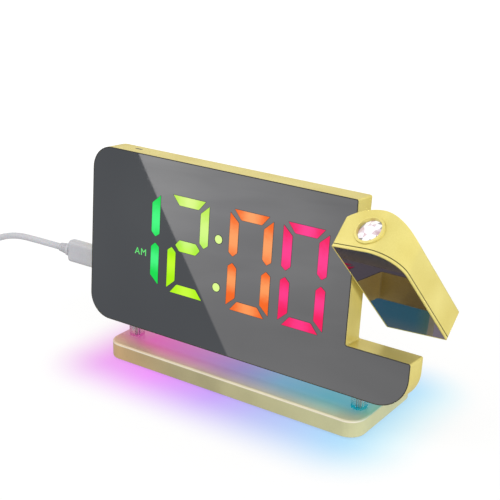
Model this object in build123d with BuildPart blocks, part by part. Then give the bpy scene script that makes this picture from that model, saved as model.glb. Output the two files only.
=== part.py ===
from build123d import *
from math import cos, hypot, pi, radians, sin, sqrt, tan
import os

# Projection alarm clock. Millimetres, +Z up, +X to the viewer's right, the clock faces -Y.
# The origin is the centre of the rubber pad's underside, where the clock stands on the desk.

# ---- driving dimensions ----
body_width = 185.0
body_height = 91.0
rim_depth = 13.1
rim_wall = 2.0
rim_edge_radius = 1.0
body_lean = 4.0
body_gap = 7.3
body_setback = 8.9
corner_top = 12.0
corner_bottom = 12.5
corner_foot = 16.0
corner_sharp = 1.0
corner_notch = 0.8
corner_least = 0.3
foot_width = 32.5
foot_height = 23.6

mirror_thickness = 2.0
mirror_lip = 0.35
mirror_gap = 0.1

digits_left = 19.8
digits_right = 12.4
digit_gap = 5.2
colon_gap = 11.9
digit_height = 50.0
digit_middle_height = 49.3
bar_width = 5.3
bar_height = 5.0
bar_end = 2.2
bar_slant = 4.2
bar_shoulder = 1.8
bar_tip = 1.4
bar_foot_outer = 3.3
bar_foot_inner = 3.8
middle_bar_inset = 4.6
middle_bar_shoulder = 7.2
middle_bar_height = 6.0
colon_radius = 2.4
colon_low = 33.5
colon_high = 57.5
mark_width = 7.4
mark_height = 3.0
am_height = 40.8
pm_height = 34.6
mask_depth = 3.5
mask_border = 4.0
guide_depth = 2.6
guide_gap = 0.1
lamp_length = 3.2
lamp_width = 1.6
lamp_height = 0.6
board_thickness = 1.2

cover_thickness = 1.6
cover_gap = 0.15
boss_radius = 3.2
boss_bite = 0.4
boss_shift = 2.0
screw_radius = 1.0
screw_head_radius = 2.0
screw_head_height = 1.0
screw_length = 8.0
screw_gap = 0.05

button_length = 9.0
button_width = 5.0
button_proud = 0.9
button_travel = 0.5
button_flange = 0.7
button_overlap = 0.7
button_gap = 0.2
button_pitch = 15.0
button_row_height = 67.0
button_names = ["set_button", "down_button", "up_button", "projector_button", "light_button"]
switch_size = 4.4
switch_height = 1.5
button_board_width = 7.5
button_edge_radius = 0.3
peg_radius = 1.4
plunger_radius = 1.0
plunger_gap = 0.1

main_board_width = 50.0
main_board_height = 38.0
main_board_left = 3.4
chip_length = 5.3
chip_width = 4.4
peg_share = 0.4
port_height = 28.8
port_depth = 6.5
port_width = 8.94
port_thickness = 3.26
port_length = 7.3
port_wall = 0.3
port_recess = 0.3
tongue_thickness = 0.7
tongue_width = 6.7

buzzer_radius = 6.4
buzzer_height = 5.0
buzzer_right = 19.0
buzzer_up = 14.6
sound_hole_radius = 0.75
sound_hole_ring = 3.4
sound_hole_depth = 1.4

cell_radius = 10.0
cell_thickness = 3.2
cell_right = 52.5
cell_edge_radius = 0.15
cell_up = 42.0
holder_wall = 1.4
holder_floor = 1.0
door_slot_length = 9.0
door_slot_width = 1.4
door_slot_depth = 0.8

sensor_length = 4.3
sensor_width = 1.5
sensor_across = 23.6
sensor_depth = 7.0
sensor_height = 2.6

light_bar_end_gap = 10.2
light_bar_width = 6.0
light_bar_flange = 1.2
light_bar_depth = 6.6
lamp_count = 12
strip_lamp_size = 4.0
strip_lamp_height = 1.4
strip_board_width = 7.0

base_end_inset = 18.75
base_depth = 57.0
base_height = 8.6
base_corner = 8.0
base_wall = 2.2
base_edge_radius = 0.9
base_cover_thickness = 1.8
pad_thickness = 0.8
pad_end_inset = 17.75
pad_depth = 38.0
pad_corner = 5.0
base_screw_inset = 11.75
base_screw_along = 18.5
base_screw_radius = 1.2
base_screw_head_radius = 2.3
base_screw_head_height = 1.2
base_boss_radius = 3.2

post_radius = 4.0
post_inset = 7.55
post_depth = 6.6
post_bore_radius = 1.6
flute_count = 16
flute_radius = 0.55
post_screw_radius = 1.45
post_screw_length = 20.0
post_screw_head_radius = 2.8
post_screw_head_height = 1.8
post_boss_radius = 3.4
post_boss_height = 6.5

block_width = 31.2
block_length = 66.0
block_depth = 21.0
block_side_depth = 14.8
block_gap = 0.4
block_turn = 44.0
block_pan = 6.5
block_corner = 15.0
block_shoulder_radius = 1.0
block_end_radius = 3.5
block_wall = 1.6
block_sharp = 0.6
block_floor_clearance = 0.3
block_axis_depth = 10.0
bezel_depth = 1.5
bezel_lip = 0.6
bezel_plug = 1.5
bezel_plug_wall = 1.2
bezel_parting = 0.15
block_mirror_thickness = 1.0
block_boss_radius = 3.0
block_screw_sink = 4.7

axis_depth = 7.9
shaft_radius = 2.6
shaft_bore_radius = 1.5
shaft_gap = 0.05
collar_radius = 3.6
collar_thickness = 0.8
hub_radius = 3.5
hub_height = 8.0
hub_inside = 5.6
hub_gap = 0.05
hub_floor = 0.4
swing_gap = 0.2
bush_radius = 3.2
bush_flange_radius = 3.5
bush_flange_thickness = 0.8
washer_thickness = 0.5
washer_gap = 0.1
clip_thickness = 0.8
clip_groove = 0.5
clip_mouth = 3.6
lead_radius = 1.0
lead_inside = 13.7

lens_across = 14.0
lens_depth = 10.4
lens_ring_radius = 7.0
lens_ring_proud = 0.7
lens_ring_sink = 0.9
lens_ring_edge_radius = 0.3
lens_neck_radius = 6.4
lens_neck_length = 3.5
lens_radius = 5.8
lens_edge = 1.6
lens_crown = 1.5
lens_recess = 0.5
barrel_length = 20.0
saddle_thickness = 1.2
saddle_width = 9.0
slide_thickness = 0.8
lamp_board_thickness = 1.2
projector_lamp_size = 3.5
projector_lamp_height = 2.0

plug_height = 12.0
plug_thickness = 6.5
plug_length = 20.0
plug_standoff = 0.6
plug_edge_radius = 2.4
plug_shell_length = 6.4
plug_shell_height = 8.25
plug_shell_thickness = 2.4
plug_shell_wall = 0.3
relief_length = 7.5
relief_radius = 3.1
relief_wall = 0.5
lead_diameter = 3.5
bend_share = 0.45

coil_middle_diameter = 42.0
coil_wide = 3
coil_high = 2
coil_edge_radius = 1.575
far_relief_length = 8.0
far_relief_radius = 3.0
far_plug_length = 24.0
far_plug_width = 15.7
far_plug_height = 7.6
far_plug_edge_radius = 1.2
far_shell_length = 11.9
far_shell_width = 12.0
far_shell_height = 4.5
far_shell_wall = 0.4

# ---- derived places ----
half_width = body_width / 2
notch_across = body_width - foot_width
base_length = body_width - 2 * base_end_inset
pad_length = base_length - 2 * pad_end_inset
base_screw_across = base_length / 2 - base_screw_inset
post_spacing = base_length - 2 * post_inset
light_bar_length = post_spacing - 2 * light_bar_end_gap
digit_width = (notch_across - digits_left - digits_right - 2 * digit_gap - colon_gap) / 4
digit_pitch = digit_width + digit_gap
minutes_left = digits_left + 2 * digit_width + digit_gap + colon_gap
colon_across = minutes_left - colon_gap / 2
mark_across = digits_left + digit_width / 2
base_bottom = pad_thickness
base_top = base_bottom + base_height
body_front_y = body_setback - base_depth / 2
body_bottom_z = base_top + body_gap
lean_sin, lean_cos = sin(radians(body_lean)), cos(radians(body_lean))

# the projector block is swung by block_pan at rest, its lens end towards the clock's middle
pan_sin, pan_cos = sin(radians(block_pan)), cos(radians(block_pan))
# its back is an arch across its width
half_block, arch_rise = block_width / 2, block_depth - block_side_depth
arch_radius = (half_block**2 + arch_rise**2) / (2 * arch_rise)
# swept radius of its lower end about the hinge, front and back, and the hinge's height from it
end_reach = block_length / 2 * pan_cos + hub_inside * pan_sin
back_reach = hypot(block_depth - block_axis_depth - block_end_radius, end_reach - block_end_radius)
block_reach = max(hypot(block_axis_depth, end_reach), back_reach + block_end_radius)
axis_up = foot_height + block_reach + block_floor_clearance
housing_front = bezel_depth + bezel_parting
pivot_across = notch_across + block_gap + block_length / 2 * pan_sin + hub_inside * pan_cos
boss_inset = rim_wall + boss_radius - boss_bite
mask_back = mirror_thickness + mask_depth
board_back = mask_back + board_thickness
cover_front = rim_depth - cover_thickness


def body_point(across, depth, up):
    """A place given across from the body's left edge, behind its face and up from its lower edge."""
    return Vector(
        across - half_width,
        body_front_y + depth * lean_cos + up * lean_sin,
        body_bottom_z - depth * lean_sin + up * lean_cos,
    )


def face_plane(depth):
    """Parallel to the mirror face at a depth behind it: x across from the left edge, y up."""
    return Plane(body_point(0, depth, 0), x_dir=(1, 0, 0), z_dir=(0, -lean_cos, lean_sin))


def wall_plane(across):
    """Upright plane across the body, facing +X: x is depth behind the face, y is up."""
    return Plane(body_point(across, 0, 0), x_dir=(0, lean_cos, -lean_sin), z_dir=(1, 0, 0))


def level_plane(up):
    """Plane along the body's underside or top, facing up the body: x across, y is depth."""
    return Plane(body_point(0, 0, up), x_dir=(1, 0, 0), z_dir=(0, lean_sin, lean_cos))


# the block's own directions: turned forward from the body's upright, then swung in its own plane
turn = radians(block_turn - body_lean)
block_out = Vector(0, -cos(turn), -sin(turn))
block_rise = Vector(0, -sin(turn), cos(turn))
block_up = block_rise * pan_cos - Vector(1, 0, 0) * pan_sin
block_right = Vector(1, 0, 0) * pan_cos + block_rise * pan_sin
pivot = body_point(pivot_across, axis_depth, axis_up)
block_corner_point = pivot - block_right * hub_inside + block_out * block_axis_depth


def block_plane(depth):
    """Parallel to the block's mirror at a depth behind its front: x from its left side, y from the axis."""
    return Plane(block_corner_point - block_out * depth, x_dir=block_right, z_dir=block_out)


def block_side(across):
    """Plane across the block, facing its right side: x is depth behind its front, y is up from the axis."""
    return Plane(block_corner_point + block_right * across, x_dir=-block_out, z_dir=block_right)


def block_end(up):
    """Plane across the block's length, facing its lens end: x from its left side, y is depth."""
    return Plane(block_corner_point + block_up * up, x_dir=block_right, z_dir=block_up)


def write(piece, label):
    piece.part.label = label
    export_step(piece.part, f"parts/{label}.step")


def body_outline(inset):
    """The body's front outline, a rectangle with the projector's notch out of its upper right corner."""
    right, notch, foot = body_width - inset, notch_across - inset, foot_height - inset
    corners = [corner_bottom, corner_foot, corner_sharp, -corner_notch, corner_sharp, corner_top]
    with BuildSketch() as outline:
        with BuildLine():
            FilletPolyline(
                (inset, inset),
                (right, inset),
                (right, foot),
                (notch, foot),
                (notch, body_height - inset),
                (inset, body_height - inset),
                radius=[max(abs(r - inset) if r < 0 else r - inset, corner_least) for r in corners],
                close=True,
            )
        make_face()
    return outline.sketch


def block_outline(inset):
    """The block's front outline: a large radius at the upper right, the other corners nearly sharp."""
    end, right = block_length / 2 - inset, block_width - inset
    corners = [block_sharp, block_sharp, block_corner, block_sharp]
    with BuildSketch() as outline:
        with BuildLine():
            FilletPolyline(
                (inset, -end),
                (right, -end),
                (right, end),
                (inset, end),
                radius=[max(r - inset, corner_least) for r in corners],
                close=True,
            )
        make_face()
    return outline.sketch


def block_solid(inset):
    """The block behind its parting line, drawn in all round by the inset."""
    half, crest, length = half_block - inset, block_depth - inset, block_length / 2 - inset
    shoulder = block_depth - arch_radius + sqrt((arch_radius - inset) ** 2 - half**2)
    left, right = half_block - half, half_block + half
    with BuildPart() as solid:
        with BuildSketch(block_plane(housing_front)):
            add(block_outline(inset))
        extrude(amount=housing_front - block_depth)
        # arched back, with a small radius along its two shoulders
        with BuildSketch(block_end(-block_length)) as arch:
            with BuildLine():
                Polyline((left, shoulder), (left, 0), (right, 0), (right, shoulder))
                ThreePointArc((right, shoulder), (half_block, crest), (left, shoulder))
            make_face()
            if block_shoulder_radius > inset:
                fillet(arch.vertices().group_by(Axis.Y)[-1], block_shoulder_radius - inset)
        extrude(amount=2 * block_length, mode=Mode.INTERSECT)
        # lower end rounded off to the back
        with BuildSketch(block_side(0)) as profile:
            with Locations((crest / 2, block_length / 2)):
                Rectangle(crest, block_length + 2 * length)
            low_back = profile.vertices().group_by(Axis.Y)[0].sort_by(Axis.X)[-1]
            fillet(low_back, block_end_radius - inset)
        extrude(amount=block_width, mode=Mode.INTERSECT)
    return solid.part


os.makedirs("parts", exist_ok=True)

# ---- places that repeat ----
post_places = [(side * post_spacing / 2) for side in (-1, 1)]
boss_places = [
    (corner_top + boss_shift, body_height - boss_inset),
    (notch_across / 2, body_height - boss_inset),
    (notch_across - boss_inset, body_height - boss_inset),
    (corner_bottom + boss_shift, boss_inset),
    (body_width - corner_foot + boss_shift / 2, boss_inset + boss_bite / 2),
    (notch_across - boss_inset, foot_height + boss_inset),
    (boss_inset, 2 * body_height / 3),
]
base_screw_places = [
    (i * base_screw_across, j * base_screw_along) for i in (-1, 1) for j in (-1, 1)
]
button_places = [
    (half_width + (i - 2) * button_pitch, button_row_height) for i in range(len(button_names))
]


# ---- base ----
base_underside = Plane.XY.offset(base_bottom)

with BuildPart() as base_shell:
    with BuildSketch(base_underside):
        RectangleRounded(base_length, base_depth, base_corner)
    extrude(amount=base_height)
    fillet(base_shell.faces().sort_by(Axis.Z)[-1].edges(), base_edge_radius)
    fillet(base_shell.faces().sort_by(Axis.Z)[0].edges(), base_edge_radius / 2)
    with BuildSketch(base_underside):
        RectangleRounded(
            base_length - 2 * base_wall, base_depth - 2 * base_wall, base_corner - base_wall
        )
    extrude(amount=base_height - base_wall, mode=Mode.SUBTRACT)
    # bosses for the cover's screws
    with BuildSketch(base_underside.offset(base_cover_thickness)):
        with Locations(*base_screw_places):
            Circle(base_boss_radius)
    extrude(amount=base_height - base_wall / 2 - base_cover_thickness)
    with BuildSketch(base_underside):
        with Locations(*base_screw_places):
            Circle(base_screw_radius + screw_gap)
    extrude(amount=base_height - base_wall, mode=Mode.SUBTRACT)
    # clearance holes for the long screws of the posts
    with BuildSketch(base_underside):
        with Locations(*[(x, body_front_y + post_depth) for x in post_places]):
            Circle(post_screw_radius + screw_gap)
    extrude(amount=base_height, mode=Mode.SUBTRACT)
write(base_shell, "base_shell")

with BuildPart() as base_cover:
    with BuildSketch(base_underside):
        RectangleRounded(
            base_length - 2 * (base_wall + cover_gap),
            base_depth - 2 * (base_wall + cover_gap),
            base_corner - base_wall - cover_gap,
        )
    extrude(amount=base_cover_thickness)
    with BuildSketch(base_underside):
        with Locations(*base_screw_places):
            Circle(base_screw_head_radius + screw_gap)
    extrude(amount=base_screw_head_height, mode=Mode.SUBTRACT)
    with BuildSketch(base_underside):
        with Locations(*base_screw_places):
            Circle(base_screw_radius + screw_gap)
    extrude(amount=base_cover_thickness, mode=Mode.SUBTRACT)
write(base_cover, "base_cover")

with BuildPart() as base_screws:
    with BuildSketch(base_underside):
        with Locations(*base_screw_places):
            Circle(base_screw_head_radius)
    extrude(amount=base_screw_head_height)
    with BuildSketch(base_underside):
        with Locations(*base_screw_places):
            Circle(base_screw_radius)
    extrude(amount=base_height - base_wall - screw_gap)
    # cross recess in each head
    with BuildSketch(base_underside):
        for place in base_screw_places:
            with Locations(place):
                Rectangle(2 * base_screw_radius, base_screw_radius / 2)
                Rectangle(base_screw_radius / 2, 2 * base_screw_radius)
    extrude(amount=base_screw_head_height / 2, mode=Mode.SUBTRACT)
write(base_screws, "base_screws")

with BuildPart() as anti_slip_pad:
    with BuildSketch(Plane.XY):
        RectangleRounded(pad_length, pad_depth, pad_corner)
    extrude(amount=pad_thickness)
write(anti_slip_pad, "anti_slip_pad")

# ---- posts ----
underside = level_plane(0)
for side, across in zip(("left", "right"), post_places):
    post_foot = Plane((across, body_front_y + post_depth, base_top), z_dir=(0, 0, 1))
    with BuildPart() as post:
        with BuildSketch(post_foot):
            Circle(post_radius)
            with PolarLocations(post_radius, flute_count):
                Circle(flute_radius, mode=Mode.SUBTRACT)
            Circle(post_bore_radius, mode=Mode.SUBTRACT)
        extrude(amount=body_gap + post_radius)
        split(bisect_by=underside, keep=Keep.BOTTOM)
    write(post, f"{side}_post")

with BuildPart() as post_screws:
    head_plane = Plane((0, body_front_y + post_depth, base_top - base_wall), z_dir=(0, 0, 1))
    with BuildSketch(head_plane):
        with Locations(*[(x, 0) for x in post_places]):
            Circle(post_screw_radius)
    extrude(amount=post_screw_length - post_screw_head_height)
    with BuildSketch(head_plane):
        with Locations(*[(x, 0) for x in post_places]):
            Circle(post_screw_head_radius)
    extrude(amount=-post_screw_head_height)
write(post_screws, "post_screws")

# ---- body housing ----
with BuildPart() as body_housing:
    with BuildSketch(face_plane(0)):
        add(body_outline(0))
    extrude(amount=-rim_depth)
    rear_face = body_housing.faces().sort_by(Axis((0, 0, 0), (0, lean_cos, -lean_sin)))[-1]
    fillet(rear_face.edges(), rim_edge_radius)
    # rebate of the mirror panel, then the hollow behind it
    with BuildSketch(face_plane(0)):
        add(body_outline(mirror_lip))
    extrude(amount=-mirror_thickness, mode=Mode.SUBTRACT)
    with BuildSketch(face_plane(0)):
        add(body_outline(rim_wall))
    extrude(amount=-rim_depth, mode=Mode.SUBTRACT)
    # bosses of the cover's screws
    with BuildSketch(face_plane(mirror_thickness)):
        with Locations(*boss_places):
            Circle(boss_radius)
    extrude(amount=-(cover_front - mirror_thickness))
    with BuildSketch(face_plane(cover_front)):
        with Locations(*boss_places):
            Circle(screw_radius + screw_gap)
    extrude(amount=screw_length, mode=Mode.SUBTRACT)
    # bosses that take the post screws, and their holes upright from the desk
    with BuildSketch(level_plane(rim_wall / 2)):
        with Locations(*[(half_width + x, post_depth) for x in post_places]):
            Circle(post_boss_radius)
    extrude(amount=post_boss_height)
    with BuildSketch(head_plane):
        with Locations(*[(x, 0) for x in post_places]):
            Circle(post_screw_radius + screw_gap)
    extrude(amount=post_screw_length, mode=Mode.SUBTRACT)
    # slot of the light bar
    with BuildSketch(level_plane(0)):
        with Locations((half_width, light_bar_depth)):
            RectangleRounded(light_bar_length, light_bar_width, light_bar_width / 2 - guide_gap)
    extrude(amount=rim_wall, mode=Mode.SUBTRACT)
    # port opening, hinge bore and sensor window
    with BuildSketch(wall_plane(0)):
        with Locations((port_depth, port_height)):
            RectangleRounded(
                port_thickness + 2 * button_gap, port_width + 2 * button_gap, port_thickness / 2
            )
    extrude(amount=rim_wall, mode=Mode.SUBTRACT)
    with BuildSketch(wall_plane(notch_across)):
        with Locations((axis_depth, axis_up)):
            Circle(bush_radius)
    extrude(amount=-rim_wall, mode=Mode.SUBTRACT)
    with BuildSketch(level_plane(body_height)):
        with Locations((sensor_across, sensor_depth)):
            SlotOverall(sensor_length + 2 * screw_gap, sensor_width + 2 * screw_gap)
    extrude(amount=-rim_wall, mode=Mode.SUBTRACT)
write(body_housing, "body_housing")

with BuildPart() as mirror_panel:
    with BuildSketch(face_plane(0)):
        add(body_outline(mirror_lip + mirror_gap))
    extrude(amount=-mirror_thickness)
write(mirror_panel, "mirror_panel")

with BuildPart() as light_sensor:
    with BuildSketch(level_plane(body_height)):
        with Locations((sensor_across, sensor_depth)):
            SlotOverall(sensor_length, sensor_width)
    extrude(amount=-sensor_height)
write(light_sensor, "light_sensor")


# ---- display ----
def digit_bars():
    """Outlines of a digit's seven bars about its middle, as closed lists of corners."""
    right, up = digit_width / 2, digit_height / 2
    inner = right - bar_width
    slant = right - bar_end - bar_slant
    # the upper bar, the upper right bar and the middle bar; the others mirror them
    top = [
        (bar_end - right, up),
        (right - bar_end, up),
        (slant, up - bar_height),
        (-slant, up - bar_height),
    ]
    side = [
        (right, up - bar_shoulder),
        (right, bar_foot_outer),
        (right - bar_width / 2, bar_tip),
        (inner, bar_foot_inner),
        (inner, up - bar_end - bar_slant),
    ]
    tip, shoulder = right - middle_bar_inset, right - middle_bar_shoulder
    middle = [
        (-tip, 0),
        (-shoulder, middle_bar_height / 2),
        (shoulder, middle_bar_height / 2),
        (tip, 0),
        (shoulder, -middle_bar_height / 2),
        (-shoulder, -middle_bar_height / 2),
    ]
    flip_x = [(-x, y) for x, y in side]
    return {
        "top": top,
        "upper_right": side,
        "upper_left": flip_x,
        "middle": middle,
        "lower_right": [(x, -y) for x, y in side],
        "lower_left": [(x, -y) for x, y in flip_x],
        "bottom": [(x, -y) for x, y in top],
    }


def bars_sketch(left, inset):
    """The seven bars of the digit whose left edge is given."""
    with BuildSketch() as bars:
        with Locations((left + digit_width / 2, digit_middle_height)):
            for corners in digit_bars().values():
                Polygon(*corners, align=None)
        if inset:
            offset(amount=-inset, kind=Kind.INTERSECTION)
    return bars.sketch


def marks_sketch(inset):
    """The two small windows of the morning and afternoon marks."""
    with BuildSketch() as marks:
        with Locations((mark_across, am_height), (mark_across, pm_height)):
            Rectangle(mark_width - 2 * inset, mark_height - 2 * inset)
    return marks.sketch


def colon_sketch(inset):
    with BuildSketch() as dots:
        with Locations((colon_across, colon_low), (colon_across, colon_high)):
            Circle(colon_radius - inset)
    return dots.sketch


digit_lefts = {
    "hour_tens_digit": digits_left,
    "hour_units_digit": digits_left + digit_pitch,
    "minute_tens_digit": minutes_left,
    "minute_units_digit": minutes_left + digit_pitch,
}
mask_left = digits_left - mask_border
mask_right = minutes_left + digit_pitch + digit_width + mask_border
mask_middle = ((mask_left + mask_right) / 2, digit_middle_height)
mask_size = (mask_right - mask_left, digit_height + 2 * mask_border)

with BuildPart() as segment_mask:
    with BuildSketch(face_plane(mirror_thickness)):
        with Locations(mask_middle):
            Rectangle(*mask_size)
    extrude(amount=-mask_depth)
    with BuildSketch(face_plane(mirror_thickness)):
        for left in digit_lefts.values():
            add(bars_sketch(left, 0))
        add(colon_sketch(0))
        add(marks_sketch(0))
    extrude(amount=-mask_depth, mode=Mode.SUBTRACT)
write(segment_mask, "segment_mask")

for name, left in digit_lefts.items():
    with BuildPart() as digit:
        with BuildSketch(face_plane(mirror_thickness)):
            add(bars_sketch(left, guide_gap))
        extrude(amount=-guide_depth)
    write(digit, name)

with BuildPart() as colon_dots:
    with BuildSketch(face_plane(mirror_thickness)):
        add(colon_sketch(guide_gap))
    extrude(amount=-guide_depth)
write(colon_dots, "colon_dots")

with BuildPart() as ampm_marks:
    with BuildSketch(face_plane(mirror_thickness)):
        add(marks_sketch(guide_gap))
    extrude(amount=-guide_depth)
write(ampm_marks, "ampm_marks")

with BuildPart() as display_board:
    with BuildSketch(face_plane(mask_back)):
        with Locations(mask_middle):
            Rectangle(*mask_size)
    extrude(amount=-board_thickness)
    # one lamp in the middle of each bar, dot and mark
    with BuildSketch(face_plane(mask_back)):
        for left in digit_lefts.values():
            with Locations((left + digit_width / 2, digit_middle_height)):
                with GridLocations(digit_width - bar_width, digit_height / 2, 2, 2):
                    Rectangle(lamp_width, lamp_length)
                with GridLocations(0, (digit_height - bar_width) / 2, 1, 3):
                    Rectangle(lamp_length, lamp_width)
        with Locations((colon_across, colon_low), (colon_across, colon_high)):
            Rectangle(lamp_width, lamp_width)
        with Locations((mark_across, am_height), (mark_across, pm_height)):
            Rectangle(lamp_length, lamp_width)
    extrude(amount=lamp_height)
write(display_board, "display_board")

# ---- night light ----
with BuildPart() as light_bar:
    with BuildSketch(level_plane(0)):
        with Locations((half_width, light_bar_depth)):
            RectangleRounded(
                light_bar_length - 2 * guide_gap,
                light_bar_width - 2 * guide_gap,
                light_bar_width / 2 - 2 * guide_gap,
            )
    extrude(amount=rim_wall)
    with BuildSketch(level_plane(rim_wall)):
        with Locations((half_width, light_bar_depth)):
            Rectangle(light_bar_length + 2 * light_bar_flange, strip_board_width)
    extrude(amount=light_bar_flange)
write(light_bar, "light_bar")

strip_level = rim_wall + light_bar_flange
with BuildPart() as light_strip_board:
    with BuildSketch(level_plane(strip_level)):
        with Locations((half_width, light_bar_depth)):
            with GridLocations(light_bar_length / lamp_count, 0, lamp_count, 1):
                Rectangle(strip_lamp_size, strip_lamp_size)
    extrude(amount=strip_lamp_height)
    with BuildSketch(level_plane(strip_level + strip_lamp_height)):
        with Locations((half_width, light_bar_depth)):
            Rectangle(light_bar_length, strip_board_width)
    extrude(amount=board_thickness)
write(light_strip_board, "light_strip_board")

# ---- rear of the body ----
cell_place = (notch_across - cell_right, cell_up)
buzzer_place = (body_width - buzzer_right, buzzer_up)
door_radius = cell_radius + holder_wall
main_board_depth = port_depth + port_thickness / 2
main_board_middle = (main_board_left + main_board_width / 2, port_height)
main_board_back = main_board_depth + board_thickness
peg_across, peg_rise = main_board_width * peg_share, main_board_height * peg_share
peg_places = [
    (main_board_middle[0] + i * peg_across, port_height + j * peg_rise) for i in (-1, 1) for j in (-1, 1)
]
flange_back = cover_front - guide_gap
flange_front = flange_back - button_flange
plunger_back = flange_front - button_travel - plunger_gap
switch_back = plunger_back - lamp_height
button_board_depth = switch_back - switch_height - board_thickness
button_board_size = ((len(button_names) - 1) * button_pitch + 2 * switch_size, button_board_width)
button_peg_places = [
    (half_width + i * button_pitch, button_row_height) for i in (-1.5, -0.5, 0.5, 1.5)
]

with BuildPart() as rear_cover:
    with BuildSketch(face_plane(cover_front)):
        add(body_outline(rim_wall + cover_gap))
    extrude(amount=-cover_thickness)
    # openings of the cell door, the buttons and the sounder
    with BuildSketch(face_plane(cover_front)):
        with Locations(cell_place):
            Circle(door_radius)
        with Locations(*button_places):
            SlotOverall(button_length + 2 * button_gap, button_width + 2 * button_gap)
        with Locations(buzzer_place):
            Circle(sound_hole_radius)
            with PolarLocations(sound_hole_ring, 6):
                Circle(sound_hole_radius)
    extrude(amount=-cover_thickness, mode=Mode.SUBTRACT)
    with BuildSketch(face_plane(rim_depth)):
        with Locations(*boss_places):
            Circle(screw_head_radius + screw_gap)
    extrude(amount=screw_head_height, mode=Mode.SUBTRACT)
    with BuildSketch(face_plane(rim_depth)):
        with Locations(*boss_places):
            Circle(screw_radius + screw_gap)
    extrude(amount=cover_thickness, mode=Mode.SUBTRACT)
    # pegs that hold the boards
    with BuildSketch(face_plane(cover_front)):
        with Locations(*peg_places):
            Circle(peg_radius)
    extrude(amount=cover_front - main_board_back)
    with BuildSketch(face_plane(cover_front)):
        with Locations(*button_peg_places):
            Circle(peg_radius)
    extrude(amount=cover_front - button_board_depth - board_thickness)
write(rear_cover, "rear_cover")

with BuildPart() as cover_screws:
    with BuildSketch(face_plane(rim_depth)):
        with Locations(*boss_places):
            Circle(screw_head_radius)
    extrude(amount=screw_head_height)
    with BuildSketch(face_plane(rim_depth)):
        with Locations(*boss_places):
            Circle(screw_radius)
    extrude(amount=screw_length)
    with BuildSketch(face_plane(rim_depth)):
        for place in boss_places:
            with Locations(place):
                Rectangle(2 * screw_radius, screw_radius / 2)
                Rectangle(screw_radius / 2, 2 * screw_radius)
    extrude(amount=screw_head_height / 2, mode=Mode.SUBTRACT)
write(cover_screws, "cover_screws")

with BuildPart() as cell_holder:
    with BuildSketch(face_plane(board_back)):
        with Locations(cell_place):
            Circle(door_radius)
    extrude(amount=-(cover_front - board_back))
    with BuildSketch(face_plane(board_back + holder_floor)):
        with Locations(cell_place):
            Circle(cell_radius + screw_gap)
    extrude(amount=-rim_depth, mode=Mode.SUBTRACT)
write(cell_holder, "cell_holder")

with BuildPart() as backup_cell:
    with BuildSketch(face_plane(board_back + holder_floor)):
        with Locations(cell_place):
            Circle(cell_radius)
    extrude(amount=-cell_thickness)
    cell_rear = backup_cell.faces().sort_by(Axis((0, 0, 0), (0, lean_cos, -lean_sin)))[-1]
    fillet(cell_rear.edges(), cell_edge_radius)
write(backup_cell, "backup_cell")

with BuildPart() as cell_door:
    with BuildSketch(face_plane(cover_front)):
        with Locations(cell_place):
            Circle(door_radius - cover_gap)
    extrude(amount=-cover_thickness)
    with BuildSketch(face_plane(rim_depth)):
        with Locations(cell_place):
            SlotOverall(door_slot_length, door_slot_width)
    extrude(amount=door_slot_depth, mode=Mode.SUBTRACT)
write(cell_door, "cell_door")

with BuildPart() as buzzer:
    with BuildSketch(face_plane(cover_front)):
        with Locations(buzzer_place):
            Circle(buzzer_radius)
    extrude(amount=buzzer_height)
    with BuildSketch(face_plane(cover_front)):
        with Locations(buzzer_place):
            Circle(sound_hole_radius)
    extrude(amount=sound_hole_depth, mode=Mode.SUBTRACT)
write(buzzer, "buzzer")

with BuildPart() as main_board:
    with BuildSketch(face_plane(main_board_depth)):
        with Locations(main_board_middle):
            Rectangle(main_board_width, main_board_height)
    extrude(amount=-board_thickness)
    # chips on the back of the board
    with BuildSketch(face_plane(main_board_back)):
        with Locations(main_board_middle):
            with GridLocations(main_board_width / 3, main_board_height / 3, 3, 2):
                Rectangle(chip_length, chip_width)
    extrude(amount=-board_thickness)
write(main_board, "main_board")

with BuildPart() as usb_socket:
    with BuildSketch(wall_plane(port_recess)):
        with Locations((port_depth, port_height)):
            RectangleRounded(port_thickness, port_width, port_thickness / 2 - port_wall)
    extrude(amount=port_length)
    with BuildSketch(wall_plane(port_recess)):
        with Locations((port_depth, port_height)):
            RectangleRounded(
                port_thickness - 2 * port_wall,
                port_width - 2 * port_wall,
                port_thickness / 2 - 2 * port_wall,
            )
    extrude(amount=port_length - port_wall, mode=Mode.SUBTRACT)
    with BuildSketch(wall_plane(port_recess + holder_floor)):
        with Locations((port_depth, port_height)):
            Rectangle(tongue_thickness, tongue_width)
    extrude(amount=port_length - holder_floor)
write(usb_socket, "usb_socket")

with BuildPart() as button_board:
    with BuildSketch(face_plane(button_board_depth)):
        with Locations((half_width, button_row_height)):
            Rectangle(*button_board_size)
    extrude(amount=-board_thickness)
    with BuildSketch(face_plane(button_board_depth + board_thickness)):
        with Locations(*button_places):
            Rectangle(switch_size, switch_size)
    extrude(amount=-switch_height)
    with BuildSketch(face_plane(switch_back)):
        with Locations(*button_places):
            Circle(plunger_radius)
    extrude(amount=-lamp_height)
write(button_board, "button_board")

for name, place in zip(button_names, button_places):
    with BuildPart() as button:
        with BuildSketch(face_plane(flange_front)):
            with Locations(place):
                SlotOverall(button_length + 2 * button_overlap, button_width + 2 * button_overlap)
        extrude(amount=-button_flange)
        with BuildSketch(face_plane(flange_back)):
            with Locations(place):
                SlotOverall(button_length, button_width)
        extrude(amount=-(rim_depth + button_proud - flange_back))
        cap_face = button.faces().sort_by(Axis((0, 0, 0), (0, lean_cos, -lean_sin)))[-1]
        fillet(cap_face.edges(), button_edge_radius)
    write(button, name)

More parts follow.
